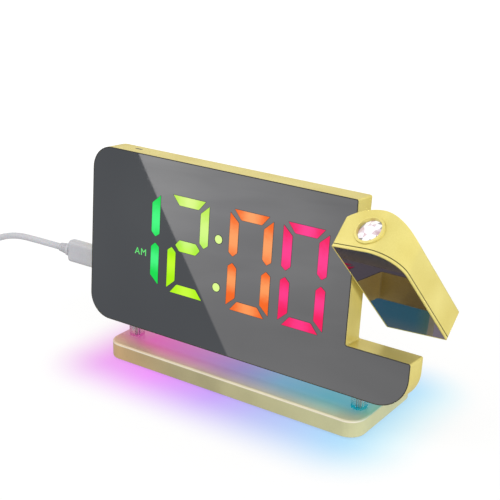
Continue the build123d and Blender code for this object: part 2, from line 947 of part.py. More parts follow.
# ---- hinge ----
axis_place = (axis_depth, axis_up)
bush_inside = notch_across - rim_wall - bush_flange_thickness
washer_inside = bush_inside - washer_gap - washer_thickness
clip_inside = washer_inside - clip_thickness
shaft_inside = clip_inside - clip_groove

with BuildPart() as hinge_bush:
    with BuildSketch(wall_plane(bush_inside)):
        with Locations(axis_place):
            Circle(bush_flange_radius)
    extrude(amount=bush_flange_thickness)
    with BuildSketch(wall_plane(bush_inside)):
        with Locations(axis_place):
            Circle(bush_radius)
    extrude(amount=bush_flange_thickness + rim_wall)
    with BuildSketch(wall_plane(bush_inside)):
        with Locations(axis_place):
            Circle(shaft_radius + shaft_gap)
    extrude(amount=bush_flange_thickness + rim_wall, mode=Mode.SUBTRACT)
write(hinge_bush, "hinge_bush")

hub_front = Plane(pivot + block_out * (hub_height / 2), x_dir=(1, 0, 0), z_dir=block_out)
hub_back = Plane(pivot - block_out * (hub_height / 2), x_dir=(1, 0, 0), z_dir=block_out)
with BuildPart() as hinge_shaft:
    with BuildSketch(wall_plane(shaft_inside)):
        with Locations(axis_place):
            Circle(shaft_radius)
    extrude(amount=pivot_across - shaft_inside)
    with BuildSketch(wall_plane(notch_across + washer_gap)):
        with Locations(axis_place):
            Circle(collar_radius)
    extrude(amount=collar_thickness)
    # hub that the block swings on, square to the shaft
    with BuildSketch(hub_front):
        Circle(hub_radius)
    extrude(amount=-hub_height)
    with BuildSketch(hub_back):
        Circle(screw_radius + screw_gap)
    extrude(amount=hub_height / 2 - shaft_bore_radius - hub_floor / 2, mode=Mode.SUBTRACT)
    with BuildSketch(wall_plane(shaft_inside)):
        with Locations(axis_place):
            Circle(shaft_bore_radius)
    extrude(amount=body_width, mode=Mode.SUBTRACT)
    # groove of the clip
    with BuildSketch(wall_plane(clip_inside)):
        with Locations(axis_place):
            Circle(shaft_radius)
            Circle(shaft_radius - clip_groove, mode=Mode.SUBTRACT)
    extrude(amount=clip_thickness, mode=Mode.SUBTRACT)
write(hinge_shaft, "hinge_shaft")

with BuildPart() as friction_washer:
    with BuildSketch(wall_plane(washer_inside)):
        with Locations(axis_place):
            Circle(bush_flange_radius)
            Circle(shaft_radius + shaft_gap, mode=Mode.SUBTRACT)
    extrude(amount=washer_thickness)
write(friction_washer, "friction_washer")

with BuildPart() as hinge_clip:
    with BuildSketch(wall_plane(clip_inside)):
        with Locations(axis_place):
            Circle(bush_flange_radius)
            Circle(shaft_radius - clip_groove + shaft_gap, mode=Mode.SUBTRACT)
            # mouth of the clip
            with Locations((0, -bush_flange_radius)):
                Rectangle(clip_mouth, 2 * shaft_radius, mode=Mode.SUBTRACT)
    extrude(amount=clip_thickness)
write(hinge_clip, "hinge_clip")

lead_start = notch_across - lead_inside
lead_end = pivot_across + hub_radius
with BuildPart() as projector_lead:
    with BuildSketch(wall_plane(lead_start)):
        with Locations(axis_place):
            Circle(lead_radius)
    extrude(amount=lead_end - lead_start)
write(projector_lead, "projector_lead")

# ---- projector block ----
end = block_length / 2
plug_back = housing_front + bezel_plug
lens_place = (lens_across, lens_depth)
boss_edge = block_wall + block_boss_radius - boss_bite
block_boss_places = [
    (boss_edge, boss_edge - end),
    (block_width - boss_edge, boss_edge - end),
    (boss_edge, end / 2),
    (block_width - boss_edge, end / 3),
]
screw_seat = block_depth - block_screw_sink
hub_rear = block_axis_depth + hub_height / 2 + hub_gap
ring_top = end + lens_ring_proud
neck_bottom = end - lens_neck_length
barrel_bottom = neck_bottom - barrel_length

block_outside = block_solid(0)
with BuildPart() as projector_housing:
    add(block_outside)
    # hollow, open to the front
    add(block_solid(block_wall), mode=Mode.SUBTRACT)
    # bosses for the bezel's screws and for the screw that the block swings on
    with BuildSketch(block_plane(plug_back)):
        with Locations(*block_boss_places):
            Circle(block_boss_radius)
    extrude(amount=-(block_depth - block_wall / 2 - plug_back))
    with BuildSketch(block_plane(hub_rear)):
        with Locations((hub_inside, 0)):
            Circle(block_boss_radius)
    extrude(amount=-(block_depth - block_wall / 2 - hub_rear))
    # saddles that carry the lens barrel
    for up in (neck_bottom - saddle_thickness, barrel_bottom + 2 * saddle_thickness):
        with BuildSketch(block_end(up)):
            with Locations((lens_across, (lens_depth + block_depth) / 2 - block_wall / 4)):
                Rectangle(saddle_width, block_depth - lens_depth - block_wall / 2)
            with Locations(lens_place):
                Circle(lens_neck_radius + screw_gap, mode=Mode.SUBTRACT)
        extrude(amount=-saddle_thickness)
    add(block_outside, mode=Mode.INTERSECT)
    with BuildSketch(block_plane(0)):
        with Locations(*block_boss_places, (hub_inside, 0)):
            Circle(screw_radius + screw_gap)
    extrude(amount=-block_depth, mode=Mode.SUBTRACT)
    with BuildSketch(block_plane(block_depth)):
        with Locations(*block_boss_places, (hub_inside, 0)):
            Circle(screw_head_radius + screw_gap)
    extrude(amount=block_screw_sink + screw_head_height, mode=Mode.SUBTRACT)
    # slot for the hinge shaft, long enough for the swing, and the hole for the lens
    with BuildSketch(block_side(0)):
        with Locations((block_axis_depth, 0)):
            SlotOverall(
                2 * (shaft_radius / pan_cos + hub_inside * pan_sin + swing_gap),
                2 * (shaft_radius + swing_gap),
                rotation=90,
            )
    extrude(amount=block_wall, mode=Mode.SUBTRACT)
    with BuildSketch(block_end(end)):
        with Locations(lens_place):
            Circle(lens_ring_radius + shaft_gap)
    extrude(amount=-lens_ring_sink, mode=Mode.SUBTRACT)
    with BuildSketch(block_end(end)):
        with Locations(lens_place):
            Circle(lens_neck_radius + shaft_gap)
    extrude(amount=-lens_neck_length, mode=Mode.SUBTRACT)
write(projector_housing, "projector_housing")

with BuildPart() as projector_bezel:
    with BuildSketch(block_plane(0)):
        add(block_outline(0))
    extrude(amount=-bezel_depth)
    # rim that plugs into the housing, with a pad at each screw
    with BuildSketch(block_plane(bezel_depth)):
        add(block_outline(block_wall + guide_gap))
        add(block_outline(block_wall + guide_gap + bezel_plug_wall), mode=Mode.SUBTRACT)
        with Locations(*block_boss_places):
            Circle(block_boss_radius - guide_gap)
        add(block_outline(block_wall + guide_gap), mode=Mode.INTERSECT)
    extrude(amount=-(bezel_parting + bezel_plug))
    # the rim makes way for the lens barrel
    with BuildSketch(block_plane(bezel_depth)):
        with Locations((lens_across, end)):
            Rectangle(2 * (lens_ring_radius + shaft_gap), 2 * lens_neck_length)
    extrude(amount=-(bezel_parting + bezel_plug), mode=Mode.SUBTRACT)
    with BuildSketch(block_plane(0)):
        add(block_outline(bezel_lip))
    extrude(amount=-block_mirror_thickness, mode=Mode.SUBTRACT)
    # the screws bite into the pads from behind
    with BuildSketch(block_plane(plug_back)):
        with Locations(*block_boss_places):
            Circle(screw_radius + screw_gap)
    extrude(amount=bezel_plug, mode=Mode.SUBTRACT)
write(projector_bezel, "projector_bezel")

with BuildPart() as projector_mirror:
    with BuildSketch(block_plane(0)):
        add(block_outline(bezel_lip + mirror_gap))
    extrude(amount=-block_mirror_thickness)
write(projector_mirror, "projector_mirror")

with BuildPart() as projector_screws:
    with BuildSketch(block_plane(screw_seat)):
        with Locations(*block_boss_places):
            Circle(screw_head_radius)
    extrude(amount=screw_head_height)
    with BuildSketch(block_plane(screw_seat)):
        with Locations(*block_boss_places):
            Circle(screw_radius)
    extrude(amount=screw_seat - housing_front)
    with BuildSketch(block_plane(screw_seat)):
        for place in block_boss_places:
            with Locations(place):
                Rectangle(2 * screw_radius, screw_radius / 2)
                Rectangle(screw_radius / 2, 2 * screw_radius)
    extrude(amount=screw_head_height / 2, mode=Mode.SUBTRACT)
write(projector_screws, "projector_screws")

with BuildPart() as swing_screw:
    with BuildSketch(block_plane(screw_seat)):
        with Locations((hub_inside, 0)):
            Circle(screw_head_radius)
    extrude(amount=screw_head_height)
    with BuildSketch(block_plane(screw_seat)):
        with Locations((hub_inside, 0)):
            Circle(screw_radius)
    extrude(amount=screw_seat - block_axis_depth - shaft_bore_radius - hub_floor)
    with BuildSketch(block_plane(screw_seat)):
        with Locations((hub_inside, 0)):
            Rectangle(2 * screw_radius, screw_radius / 2)
            Rectangle(screw_radius / 2, 2 * screw_radius)
    extrude(amount=screw_head_height / 2, mode=Mode.SUBTRACT)
write(swing_screw, "swing_screw")

with BuildPart() as lens_ring:
    with BuildSketch(block_end(ring_top)):
        with Locations(lens_place):
            Circle(lens_ring_radius)
    extrude(amount=-(lens_ring_proud + lens_ring_sink))
    ring_face = lens_ring.faces().sort_by(Axis((0, 0, 0), block_up))[-1]
    fillet(ring_face.edges(), lens_ring_edge_radius)
    with BuildSketch(block_end(end)):
        with Locations(lens_place):
            Circle(lens_neck_radius)
    extrude(amount=-lens_neck_length)
    with BuildSketch(block_end(ring_top)):
        with Locations(lens_place):
            Circle(lens_radius)
    extrude(amount=-(lens_ring_proud + lens_neck_length), mode=Mode.SUBTRACT)
write(lens_ring, "lens_ring")

lens_foot = ring_top - lens_recess - lens_crown - lens_edge
crown_radius = (lens_radius**2 + lens_crown**2) / (2 * lens_crown)
with BuildPart() as projector_lens:
    lens_plane = Plane(block_end(lens_foot).from_local_coords(lens_place), block_right, -block_out)
    with BuildSketch(lens_plane):
        with BuildLine():
            Line((0, 0), (lens_radius, 0))
            Line((lens_radius, 0), (lens_radius, lens_edge))
            RadiusArc((lens_radius, lens_edge), (0, lens_edge + lens_crown), -crown_radius)
            Line((0, lens_edge + lens_crown), (0, 0))
        make_face()
    revolve(axis=Axis(lens_plane.origin, block_up))
write(projector_lens, "projector_lens")

with BuildPart() as lens_barrel:
    with BuildSketch(block_end(neck_bottom)):
        with Locations(lens_place):
            Circle(lens_neck_radius)
            Circle(lens_radius, mode=Mode.SUBTRACT)
    extrude(amount=-barrel_length)
write(lens_barrel, "lens_barrel")

with BuildPart() as digit_slide:
    with BuildSketch(block_end(barrel_bottom)):
        with Locations(lens_place):
            Rectangle(2 * lens_neck_radius, 2 * lens_neck_radius)
    extrude(amount=-slide_thickness)
write(digit_slide, "digit_slide")

lamp_board_top = barrel_bottom - slide_thickness - projector_lamp_height
with BuildPart() as projector_lamp_board:
    with BuildSketch(block_end(lamp_board_top)):
        with Locations(lens_place):
            Rectangle(2 * lens_neck_radius, 2 * lens_neck_radius)
    extrude(amount=-lamp_board_thickness)
    with BuildSketch(block_end(lamp_board_top)):
        with Locations(lens_place):
            Rectangle(projector_lamp_size, projector_lamp_size)
    extrude(amount=projector_lamp_height)
write(projector_lamp_board, "projector_lamp_board")

# ---- lead ----
plug_right = -plug_standoff
with BuildPart() as usb_plug:
    with BuildSketch(wall_plane(plug_right)):
        with Locations((port_depth, port_height)):
            RectangleRounded(plug_thickness, plug_height, plug_edge_radius)
    extrude(amount=-plug_length)
    fillet(usb_plug.faces().sort_by(Axis.X)[0].edges(), plug_edge_radius / 2)
    with BuildSketch(wall_plane(plug_right)):
        with Locations((port_depth, port_height)):
            RectangleRounded(
                plug_shell_thickness, plug_shell_height, plug_shell_thickness / 2 - screw_gap
            )
    extrude(amount=plug_shell_length)
    with BuildSketch(wall_plane(plug_right)):
        with Locations((port_depth, port_height)):
            Rectangle(
                plug_shell_thickness - 2 * plug_shell_wall, plug_shell_height - 4 * plug_shell_wall
            )
    extrude(amount=plug_shell_length, mode=Mode.SUBTRACT)
write(usb_plug, "usb_plug")

relief_right = plug_right - plug_length
lead_radius_out = lead_diameter / 2
relief_end_radius = lead_radius_out + relief_wall
with BuildPart() as strain_relief:
    with BuildSketch(wall_plane(relief_right)):
        with Locations((port_depth, port_height)):
            Circle(relief_radius)
    with BuildSketch(wall_plane(relief_right - relief_length)):
        with Locations((port_depth, port_height)):
            Circle(relief_end_radius)
    loft()
write(strain_relief, "strain_relief")

# The lead's route from the strain relief to the coil, chosen by hand: level for a way, then down in
# its own bend to the desk and along it.
lead_exit = body_point(relief_right - relief_length, port_depth, port_height)
desk = lead_radius_out
route = [
    (lead_exit.X, lead_exit.Y, lead_exit.Z),
    (lead_exit.X - 17.4, lead_exit.Y, lead_exit.Z),
    (lead_exit.X - 34.4, -11.4, 43.6),
    (lead_exit.X - 51.4, -11.9, 37.6),
    (lead_exit.X - 66.4, -12.4, 27.0),
    (lead_exit.X - 78.4, -12.6, 14.0),
    (lead_exit.X - 92.4, -12.2, 4.0),
    (lead_exit.X - 108.4, -11.4, desk),
    (lead_exit.X - 122.4, -11.0, desk),
]


def bend_radii(points, share):
    """For each corner, the share of its shorter run over the tangent of half its turn."""
    radii = []
    for before, corner, after in zip(points, points[1:], points[2:]):
        run_in, run_out = Vector(corner) - Vector(before), Vector(after) - Vector(corner)
        half_turn = radians(run_in.get_angle(run_out)) / 2
        radii.append(share * min(run_in.length, run_out.length) / tan(half_turn))
    return radii


route_radii = bend_radii(route, bend_share)
with BuildPart() as usb_lead:
    with BuildLine() as lead_line:
        FilletPolyline(*route, radius=route_radii)
    with BuildSketch(Plane(lead_line.wire() @ 0, z_dir=lead_line.wire() % 0)):
        Circle(lead_radius_out)
    sweep()
write(usb_lead, "usb_lead")
lead_run = lead_line.wire().length
print("lead radii", [round(r, 1) for r in route_radii])
lead_volume = pi * lead_radius_out**2 * lead_run
print("lead run", round(lead_run, 1), "volume ratio", round(usb_lead.part.volume / lead_volume, 4))

# the coil lies on the desk: its outermost turn goes on from the end of the lead
turn_radius = coil_middle_diameter / 2 + (coil_wide - 1) * lead_diameter / 2
coil_radius = turn_radius + lead_radius_out
coil_overrun = sqrt(coil_radius**2 - (turn_radius - lead_radius_out) ** 2) + screw_gap
coil_centre = Vector(route[-1][0] - coil_overrun, route[-1][1] - turn_radius, 0)
coil_plane = Plane(coil_centre, z_dir=(0, 0, 1))
with BuildPart() as usb_lead_coil:
    with BuildSketch(coil_plane):
        Circle(coil_radius)
        Circle(coil_radius - coil_wide * lead_diameter, mode=Mode.SUBTRACT)
    extrude(amount=coil_high * lead_diameter)
    fillet(usb_lead_coil.edges(), coil_edge_radius)
write(usb_lead_coil, "usb_lead_coil")

# the far plug lies beside the coil, on the line that the last turn leaves it by
far_relief_run = sqrt(coil_radius**2 - (turn_radius - relief_end_radius) ** 2) + screw_gap
far_plug_left = coil_centre.X + far_relief_run + far_relief_length
far_y = coil_centre.Y - turn_radius
with BuildPart() as far_plug:
    far_end = Plane((far_plug_left, far_y, far_plug_height / 2), x_dir=(0, 1, 0), z_dir=(1, 0, 0))
    with BuildSketch(far_end):
        RectangleRounded(far_plug_width, far_plug_height, far_plug_edge_radius)
    extrude(amount=far_plug_length)
    fillet(far_plug.faces().sort_by(Axis.X)[0].edges(), far_plug_edge_radius / 2)
    with BuildSketch(far_end):
        Circle(far_relief_radius)
    with BuildSketch(far_end.offset(-far_relief_length)):
        Circle(relief_end_radius)
    loft()
    with BuildSketch(far_end.offset(far_plug_length)):
        Rectangle(far_shell_width, far_shell_height)
        Rectangle(
            far_shell_width - 2 * far_shell_wall, far_shell_height - 2 * far_shell_wall, mode=Mode.SUBTRACT
        )
        # the insert that carries the contacts fills the lower part of the shell
        with Locations((0, far_shell_wall - far_shell_height / 4)):
            Rectangle(far_shell_width - 2 * far_shell_wall, far_shell_height / 2)
    extrude(amount=far_shell_length)
write(far_plug, "far_plug")
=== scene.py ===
import math

import bmesh
import bpy
from mathutils import Matrix, Vector


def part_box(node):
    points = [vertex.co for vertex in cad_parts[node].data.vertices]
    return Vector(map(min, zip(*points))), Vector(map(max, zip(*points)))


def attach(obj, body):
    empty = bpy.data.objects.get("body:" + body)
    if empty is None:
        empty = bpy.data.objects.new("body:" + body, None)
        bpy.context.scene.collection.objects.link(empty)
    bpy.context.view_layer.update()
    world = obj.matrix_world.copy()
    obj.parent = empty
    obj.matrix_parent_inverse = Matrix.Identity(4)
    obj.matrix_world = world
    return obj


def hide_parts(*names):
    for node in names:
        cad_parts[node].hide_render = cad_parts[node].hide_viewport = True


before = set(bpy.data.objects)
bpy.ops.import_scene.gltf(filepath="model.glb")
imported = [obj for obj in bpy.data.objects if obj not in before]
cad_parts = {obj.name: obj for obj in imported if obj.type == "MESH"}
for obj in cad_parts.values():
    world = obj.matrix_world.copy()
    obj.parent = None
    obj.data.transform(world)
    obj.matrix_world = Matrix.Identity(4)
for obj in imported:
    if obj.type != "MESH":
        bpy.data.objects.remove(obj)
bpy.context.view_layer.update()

mm = 0.001

# the display body leans back; its own frame is x across from the left edge, y up the face, z to the front
bodyStand = {"corner": (-0.0925, -0.0196, 0.0167), "lean": 86}
bodyPlace = Matrix.Translation(bodyStand["corner"]) @ Matrix.Rotation(math.radians(bodyStand["lean"]), 4, "X")
# the projector block's own frame: x from its left side, y from the hinge to the lens, z out of its mirror;
# it is turned and swung by these degrees about the hinge
blockStand = {"hinge": (0.0697, -0.007619, 0.074792), "turn": 130, "swing": 6.5, "corner": (-0.0056, 0, 0.01)}
blockPlace = (
    Matrix.Translation(blockStand["hinge"])
    @ Matrix.Rotation(math.radians(blockStand["turn"]), 4, "X")
    @ Matrix.Rotation(math.radians(blockStand["swing"]), 4, "Z")
    @ Matrix.Translation(blockStand["corner"])
)
bpy.context.scene.view_settings.view_transform = "Standard"


def hexColor(value):
    # an sRGB hex colour as the linear one that shaders take
    levels = [int(value[i:i + 2], 16) / 255 for i in (1, 3, 5)]
    return (*[v / 12.92 if v <= 0.04045 else ((v + 0.055) / 1.055) ** 2.4 for v in levels], 1.0)


def addNode(tree, kind, settings=None, links=None):
    # adds a node, sets its sockets and options by name, and links its inputs to other nodes' outputs
    node = tree.nodes.new(kind)
    for key, value in (settings or {}).items():
        if key == "ramp":
            stops = node.color_ramp.elements
            while len(stops) < len(value):
                stops.new(0.5)
            for stop, (position, color) in zip(stops, value):
                stop.position, stop.color = position, hexColor(color)
        elif isinstance(key, int) or key in node.inputs:
            node.inputs[key].default_value = value
        else:
            setattr(node, key, value)
    for key, socket in (links or {}).items():
        tree.links.new(socket, node.inputs[key])
    return node


def newMaterial(name, settings=None):
    # a Principled material with its Object coordinates at hand
    material = bpy.data.materials.new(name)
    material.use_nodes = True
    tree = material.node_tree
    tree.nodes.clear()
    shader = addNode(tree, "ShaderNodeBsdfPrincipled", settings)
    addNode(tree, "ShaderNodeOutputMaterial", links={"Surface": shader.outputs["BSDF"]})
    place = addNode(tree, "ShaderNodeTexCoord").outputs["Object"]
    return material, tree, shader, place


def addGrain(tree, shader, place, look):
    # a noise at the finish's own grain gives its tones and its bump
    grain = addNode(tree, "ShaderNodeTexNoise", {"Scale": 1 / look["grain"], "Detail": look["detail"]},
                    {"Vector": place})
    tone = addNode(tree, "ShaderNodeValToRGB", {"ramp": look["tones"]}, {"Fac": grain.outputs["Fac"]})
    bump = addNode(tree, "ShaderNodeBump", {"Strength": look["bump"], "Distance": look["relief"]},
                   {"Height": grain.outputs["Fac"]})
    tree.links.new(tone.outputs["Color"], shader.inputs["Base Color"])
    tree.links.new(bump.outputs["Normal"], shader.inputs["Normal"])


def grainyMaterial(name, settings, look):
    # a Principled material that needs no more than its grain
    material, tree, shader, place = newMaterial(name, settings)
    addGrain(tree, shader, place, look)
    return material


def finishNode(material, *names):
    # gives CAD nodes their finish
    for name in names:
        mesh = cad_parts[name].data
        mesh.materials.clear()
        mesh.materials.append(material)


def newPiece(name, bm, materials, place=None, smooth=False, body="clock"):
    # writes the bmesh into an object that rides on a body, with its place in its mesh
    if place is not None:
        bmesh.ops.transform(bm, matrix=place, verts=bm.verts)
    bmesh.ops.recalc_face_normals(bm, faces=bm.faces)
    mesh = bpy.data.meshes.new(name)
    bm.to_mesh(mesh)
    bm.free()
    for material in materials:
        mesh.materials.append(material)
    for face in mesh.polygons:
        face.use_smooth = smooth
    piece = bpy.data.objects.new(name, mesh)
    bpy.context.scene.collection.objects.link(piece)
    if body:
        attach(piece, body)
    return piece


# camera: angles in degrees, lens and sensor in millimetres
view = {"place": (0.27234, -0.40840, 0.24652), "yaw": 34.182, "pitch": 20.094, "roll": 1.264, "lens": 78.12,
        "sensor": 36, "near": 0.01}
camera = bpy.data.objects.new("camera", bpy.data.cameras.new("camera"))
camera.data.lens = view["lens"]
camera.data.sensor_width = view["sensor"]
camera.data.clip_start = view["near"]
camera.matrix_world = (
    Matrix.Translation(view["place"])
    @ Matrix.Rotation(math.radians(view["yaw"]), 4, "Z")
    @ Matrix.Rotation(math.radians(90 - view["pitch"]), 4, "X")
    @ Matrix.Rotation(math.radians(view["roll"]), 4, "Z")
)
bpy.context.scene.collection.objects.link(camera)
bpy.context.scene.camera = camera
print("camera set")

# white PVC jacket: soft sheen, a faint unevenness from the extrusion
jacketLook = {"grain": 0.9 * mm, "detail": 3.0, "tones": [(0.3, "#c8c8cf"), (0.7, "#d8d8de")], "bump": 0.12,
              "relief": 0.1 * mm}
leadJacket = grainyMaterial("whitePvcJacket", {"Roughness": 0.42, "Specular IOR Level": 0.45,
                                               "Subsurface Weight": 0.08, "Subsurface Scale": 1 * mm},
                            jacketLook)

# white moulded plug: smoother and a little glossier than the jacket
plugLook = {"grain": 0.5 * mm, "detail": 4.0, "tones": [(0.35, "#c6c6cd"), (0.65, "#d3d3d9")], "bump": 0.1,
            "relief": 0.05 * mm}
plugWhite = grainyMaterial("whiteMouldedPlug", {"Roughness": 0.3, "Specular IOR Level": 0.5,
                                                "Subsurface Weight": 0.06, "Subsurface Scale": 1 * mm},
                           plugLook)

# the route of the lead, in millimetres: out of the plug, down to the desk and along it
leadRoute = [
    (-120.6, -11.107, 44.976), (-138.0, -11.107, 44.976), (-155.0, -11.4, 44.7), (-172.0, -11.9, 38.9),
    (-187.0, -12.4, 27.6), (-199.0, -12.6, 14.0), (-213.0, -12.2, 4.0), (-229.0, -11.4, 1.75),
    (-243.0, -11.0, 1.75),
]
leadCoil = {
    "centre": (-256.146, -35.5),
    "turns": [24.5, 21.0, 17.5, 17.5, 21.0, 24.5],  # radius of each turn
    "levels": [1.75, 1.75, 1.75, 5.25, 5.25, 5.25],
    "pointsPerTurn": 20, "stepShare": 0.25, "diameter": 3.5,
}
leadTail = [(-250.1, -60.0, 5.3), (-246.3, -60.0, 4.9), (-242.4, -60.0, 3.9), (-237.5, -60.0, 3.8)]


def coilPoints(coil):
    # each turn keeps its radius and level, and steps to the next one's over its last part
    # the last is half a turn, and ends at the tail
    count = coil["pointsPerTurn"]
    spread = 0.75 + 0.25 * math.cos(2 * math.pi / count)  # the spline runs inside its control points
    points = []
    for step in range(int(count * (len(coil["turns"]) - 0.5)) + 1):
        turn, share = divmod(step / count, 1)
        turn = int(turn)
        following = min(turn + 1, len(coil["turns"]) - 1)
        blend = max(0.0, (share - 1 + coil["stepShare"]) / coil["stepShare"])
        blend = blend * blend * (3 - 2 * blend)
        radius = coil["turns"][turn] + (coil["turns"][following] - coil["turns"][turn]) * blend
        level = coil["levels"][turn] + (coil["levels"][following] - coil["levels"][turn]) * blend
        angle = math.pi / 2 + 2 * math.pi * share
        points.append((coil["centre"][0] + radius / spread * math.cos(angle),
                       coil["centre"][1] + radius / spread * math.sin(angle), level))
    return points


leadPoints = leadRoute + coilPoints(leadCoil) + leadTail
leadCurve = bpy.data.curves.new("lead", "CURVE")
leadCurve.dimensions = "3D"
leadCurve.bevel_depth = leadCoil["diameter"] / 2 * mm
leadCurve.bevel_resolution = 6
leadCurve.resolution_u = 6
leadCurve.use_fill_caps = True
spline = leadCurve.splines.new("NURBS")
spline.points.add(len(leadPoints) - 1)
for point, (x, y, z) in zip(spline.points, leadPoints):
    point.co = (x * mm, y * mm, z * mm, 1)
spline.order_u = 3
spline.use_endpoint_u = True
leadCurve.materials.append(leadJacket)
lead = bpy.data.objects.new("lead", leadCurve)
bpy.context.scene.collection.objects.link(lead)
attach(lead, "clock")
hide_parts("usb_lead", "usb_lead_coil")
finishNode(plugWhite, "usb_plug", "far_plug")

# strain relief: a tapered sleeve with a collar at the plug and soft ribs down to the lead
reliefLook = {
    "collar": 1.8 * mm, "collarGrowth": 1.14, "tipWall": 0.55 * mm, "ribs": 4,
    # share of the way down a rib, and whether that is in its groove
    "ribOutline": [(0.0, True), (0.32, True), (0.42, False), (0.9, False)],
    "groove": 0.5 * mm, "grooveFade": 0.6, "round": 0.12 * mm, "sharpFrom": 0.3, "steps": 48,
}
reliefLow, reliefHigh = [Vector(corner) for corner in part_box("strain_relief")]
reliefMiddle = (reliefLow + reliefHigh) / 2
wide = (reliefHigh.z - reliefLow.z) / 2
collarRadius = wide * reliefLook["collarGrowth"]
tip = leadCoil["diameter"] / 2 * mm + reliefLook["tipWall"]
taperStart = reliefHigh.x - reliefLook["collar"]
taperLength = taperStart - reliefLow.x
sleeve = [(reliefHigh.x, 0), (reliefHigh.x, collarRadius), (taperStart, collarRadius)]
for rib in range(reliefLook["ribs"]):
    for share, inGroove in reliefLook["ribOutline"]:
        down = (rib + share) / reliefLook["ribs"]
        groove = reliefLook["groove"] * (1 - reliefLook["grooveFade"] * down) if inGroove else 0
        sleeve.append((taperStart - taperLength * down, wide + (tip - wide) * down - groove))
sleeve += [(reliefLow.x, tip), (reliefLow.x, 0)]
bm = bmesh.new()
rim = [bm.verts.new((x, reliefMiddle.y, reliefMiddle.z + radius)) for x, radius in sleeve]
for first, second in zip(rim, rim[1:]):
    bm.edges.new((first, second))
bmesh.ops.spin(bm, geom=bm.verts[:] + bm.edges[:], axis=(1, 0, 0), cent=reliefMiddle, angle=2 * math.pi,
               steps=reliefLook["steps"], use_merge=True)
bmesh.ops.remove_doubles(bm, verts=bm.verts, dist=0.001 * mm)
# the sharp edges that run round the sleeve are rounded
sharp = [edge for edge in bm.edges
         if len(edge.link_faces) == 2 and edge.calc_face_angle(0) > reliefLook["sharpFrom"]
         and abs(edge.verts[0].co.x - edge.verts[1].co.x) < 0.01 * mm]
bmesh.ops.bevel(bm, geom=sharp, offset=reliefLook["round"], segments=2, profile=0.5, affect="EDGES",
                material=-1)
relief = newPiece("ribbedStrainRelief", bm, [plugWhite], smooth=True)
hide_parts("strain_relief")
print("lead laid")


def goldFinish(name, look):
    # satin gold lacquer over moulded ABS: a warm, slightly metallic colour with fine flake under a clear coat
    material, tree, shader, place = newMaterial(
        name, {"Metallic": look["metallic"], "Roughness": look["roughness"], "Coat Weight": look["coat"],
               "Coat Roughness": 0.12, "Specular IOR Level": look.get("specular", 0.25),
               "Specular Tint": hexColor("#f6e498")})
    flake = addNode(tree, "ShaderNodeTexNoise", {"Scale": 1 / look["flake"], "Detail": 2.0},
                    {"Vector": place})
    cloud = addNode(tree, "ShaderNodeTexNoise", {"Scale": 1 / look["cloud"], "Detail": 1.0},
                    {"Vector": place})
    mixed = addNode(tree, "ShaderNodeMath", {"operation": "MULTIPLY_ADD", 1: 0.5},
                    {0: flake.outputs["Fac"], 2: cloud.outputs["Fac"]})
    tone = addNode(tree, "ShaderNodeValToRGB", {"ramp": [(0.45, look["deep"]), (1.0, look["pale"])]},
                   {"Fac": mixed.outputs["Value"]})
    bump = addNode(tree, "ShaderNodeBump", {"Strength": look["bump"], "Distance": 0.06 * mm},
                   {"Height": flake.outputs["Fac"]})
    tree.links.new(tone.outputs["Color"], shader.inputs["Base Color"])
    tree.links.new(bump.outputs["Normal"], shader.inputs["Normal"])
    return material


# the flake of 0.4 mm is coarser than the real one, so that it shows
bodyGold = {"metallic": 0.3, "roughness": 0.36, "coat": 0.12, "flake": 0.4 * mm, "cloud": 18 * mm, "bump": 0.12,
            "deep": "#dccb70", "pale": "#ecdf8a"}
goldLacquer = goldFinish("satinGoldLacquer", bodyGold)
# the back and the buttons have a finely spark-eroded texture under the same lacquer
goldTextured = goldFinish("texturedGoldLacquer", {
    "metallic": 0.25, "roughness": 0.5, "coat": 0.1, "flake": 0.7 * mm, "cloud": 25 * mm, "bump": 0.6,
    "deep": "#dccc7c", "pale": "#e4d68a"})


def darkBeyond(material, away, limit, past):
    # the lacquer stops at a plane, and what lies on its far side is bare dark plastic
    tree = material.node_tree
    shader = tree.nodes["Principled BSDF"]
    gold = shader.inputs["Base Color"].links[0].from_socket
    place = addNode(tree, "ShaderNodeTexCoord").outputs["Object"]
    depth = addNode(tree, "ShaderNodeVectorMath", {"operation": "DOT_PRODUCT", 1: away}, {0: place})
    bare = addNode(tree, "ShaderNodeMath", {"operation": "GREATER_THAN", 1: limit},
                   {0: depth.outputs["Value"]})
    both = addNode(tree, "ShaderNodeMix", {"data_type": "RGBA", 7: hexColor(past)},
                   {0: bare.outputs["Value"], 6: gold})
    tree.links.new(both.outputs[2], shader.inputs["Base Color"])


# where the lacquer stops: a hair behind the body's face, and where the block's frame plugs into its housing
lacquerEnd = {"face": 0.03 * mm, "faceDark": "#46464a", "plug": 1.22 * mm, "plugDark": "#2a2618"}
rimGold = goldFinish("lacquerWithDarkFrontEdge", bodyGold)
faceOut = bodyPlace.to_3x3() @ Vector((0, 0, 1))
darkBeyond(rimGold, faceOut, faceOut.dot(bodyPlace.translation) - lacquerEnd["face"], lacquerEnd["faceDark"])
# the plug is left black, so the joint shows as a dark line
bezelGold = goldFinish("lacquerOverBlackPlug", bodyGold)
blockIn = blockPlace.to_3x3() @ Vector((0, 0, -1))
darkBeyond(bezelGold, blockIn, blockIn.dot(blockPlace.translation) + lacquerEnd["plug"], lacquerEnd["plugDark"])
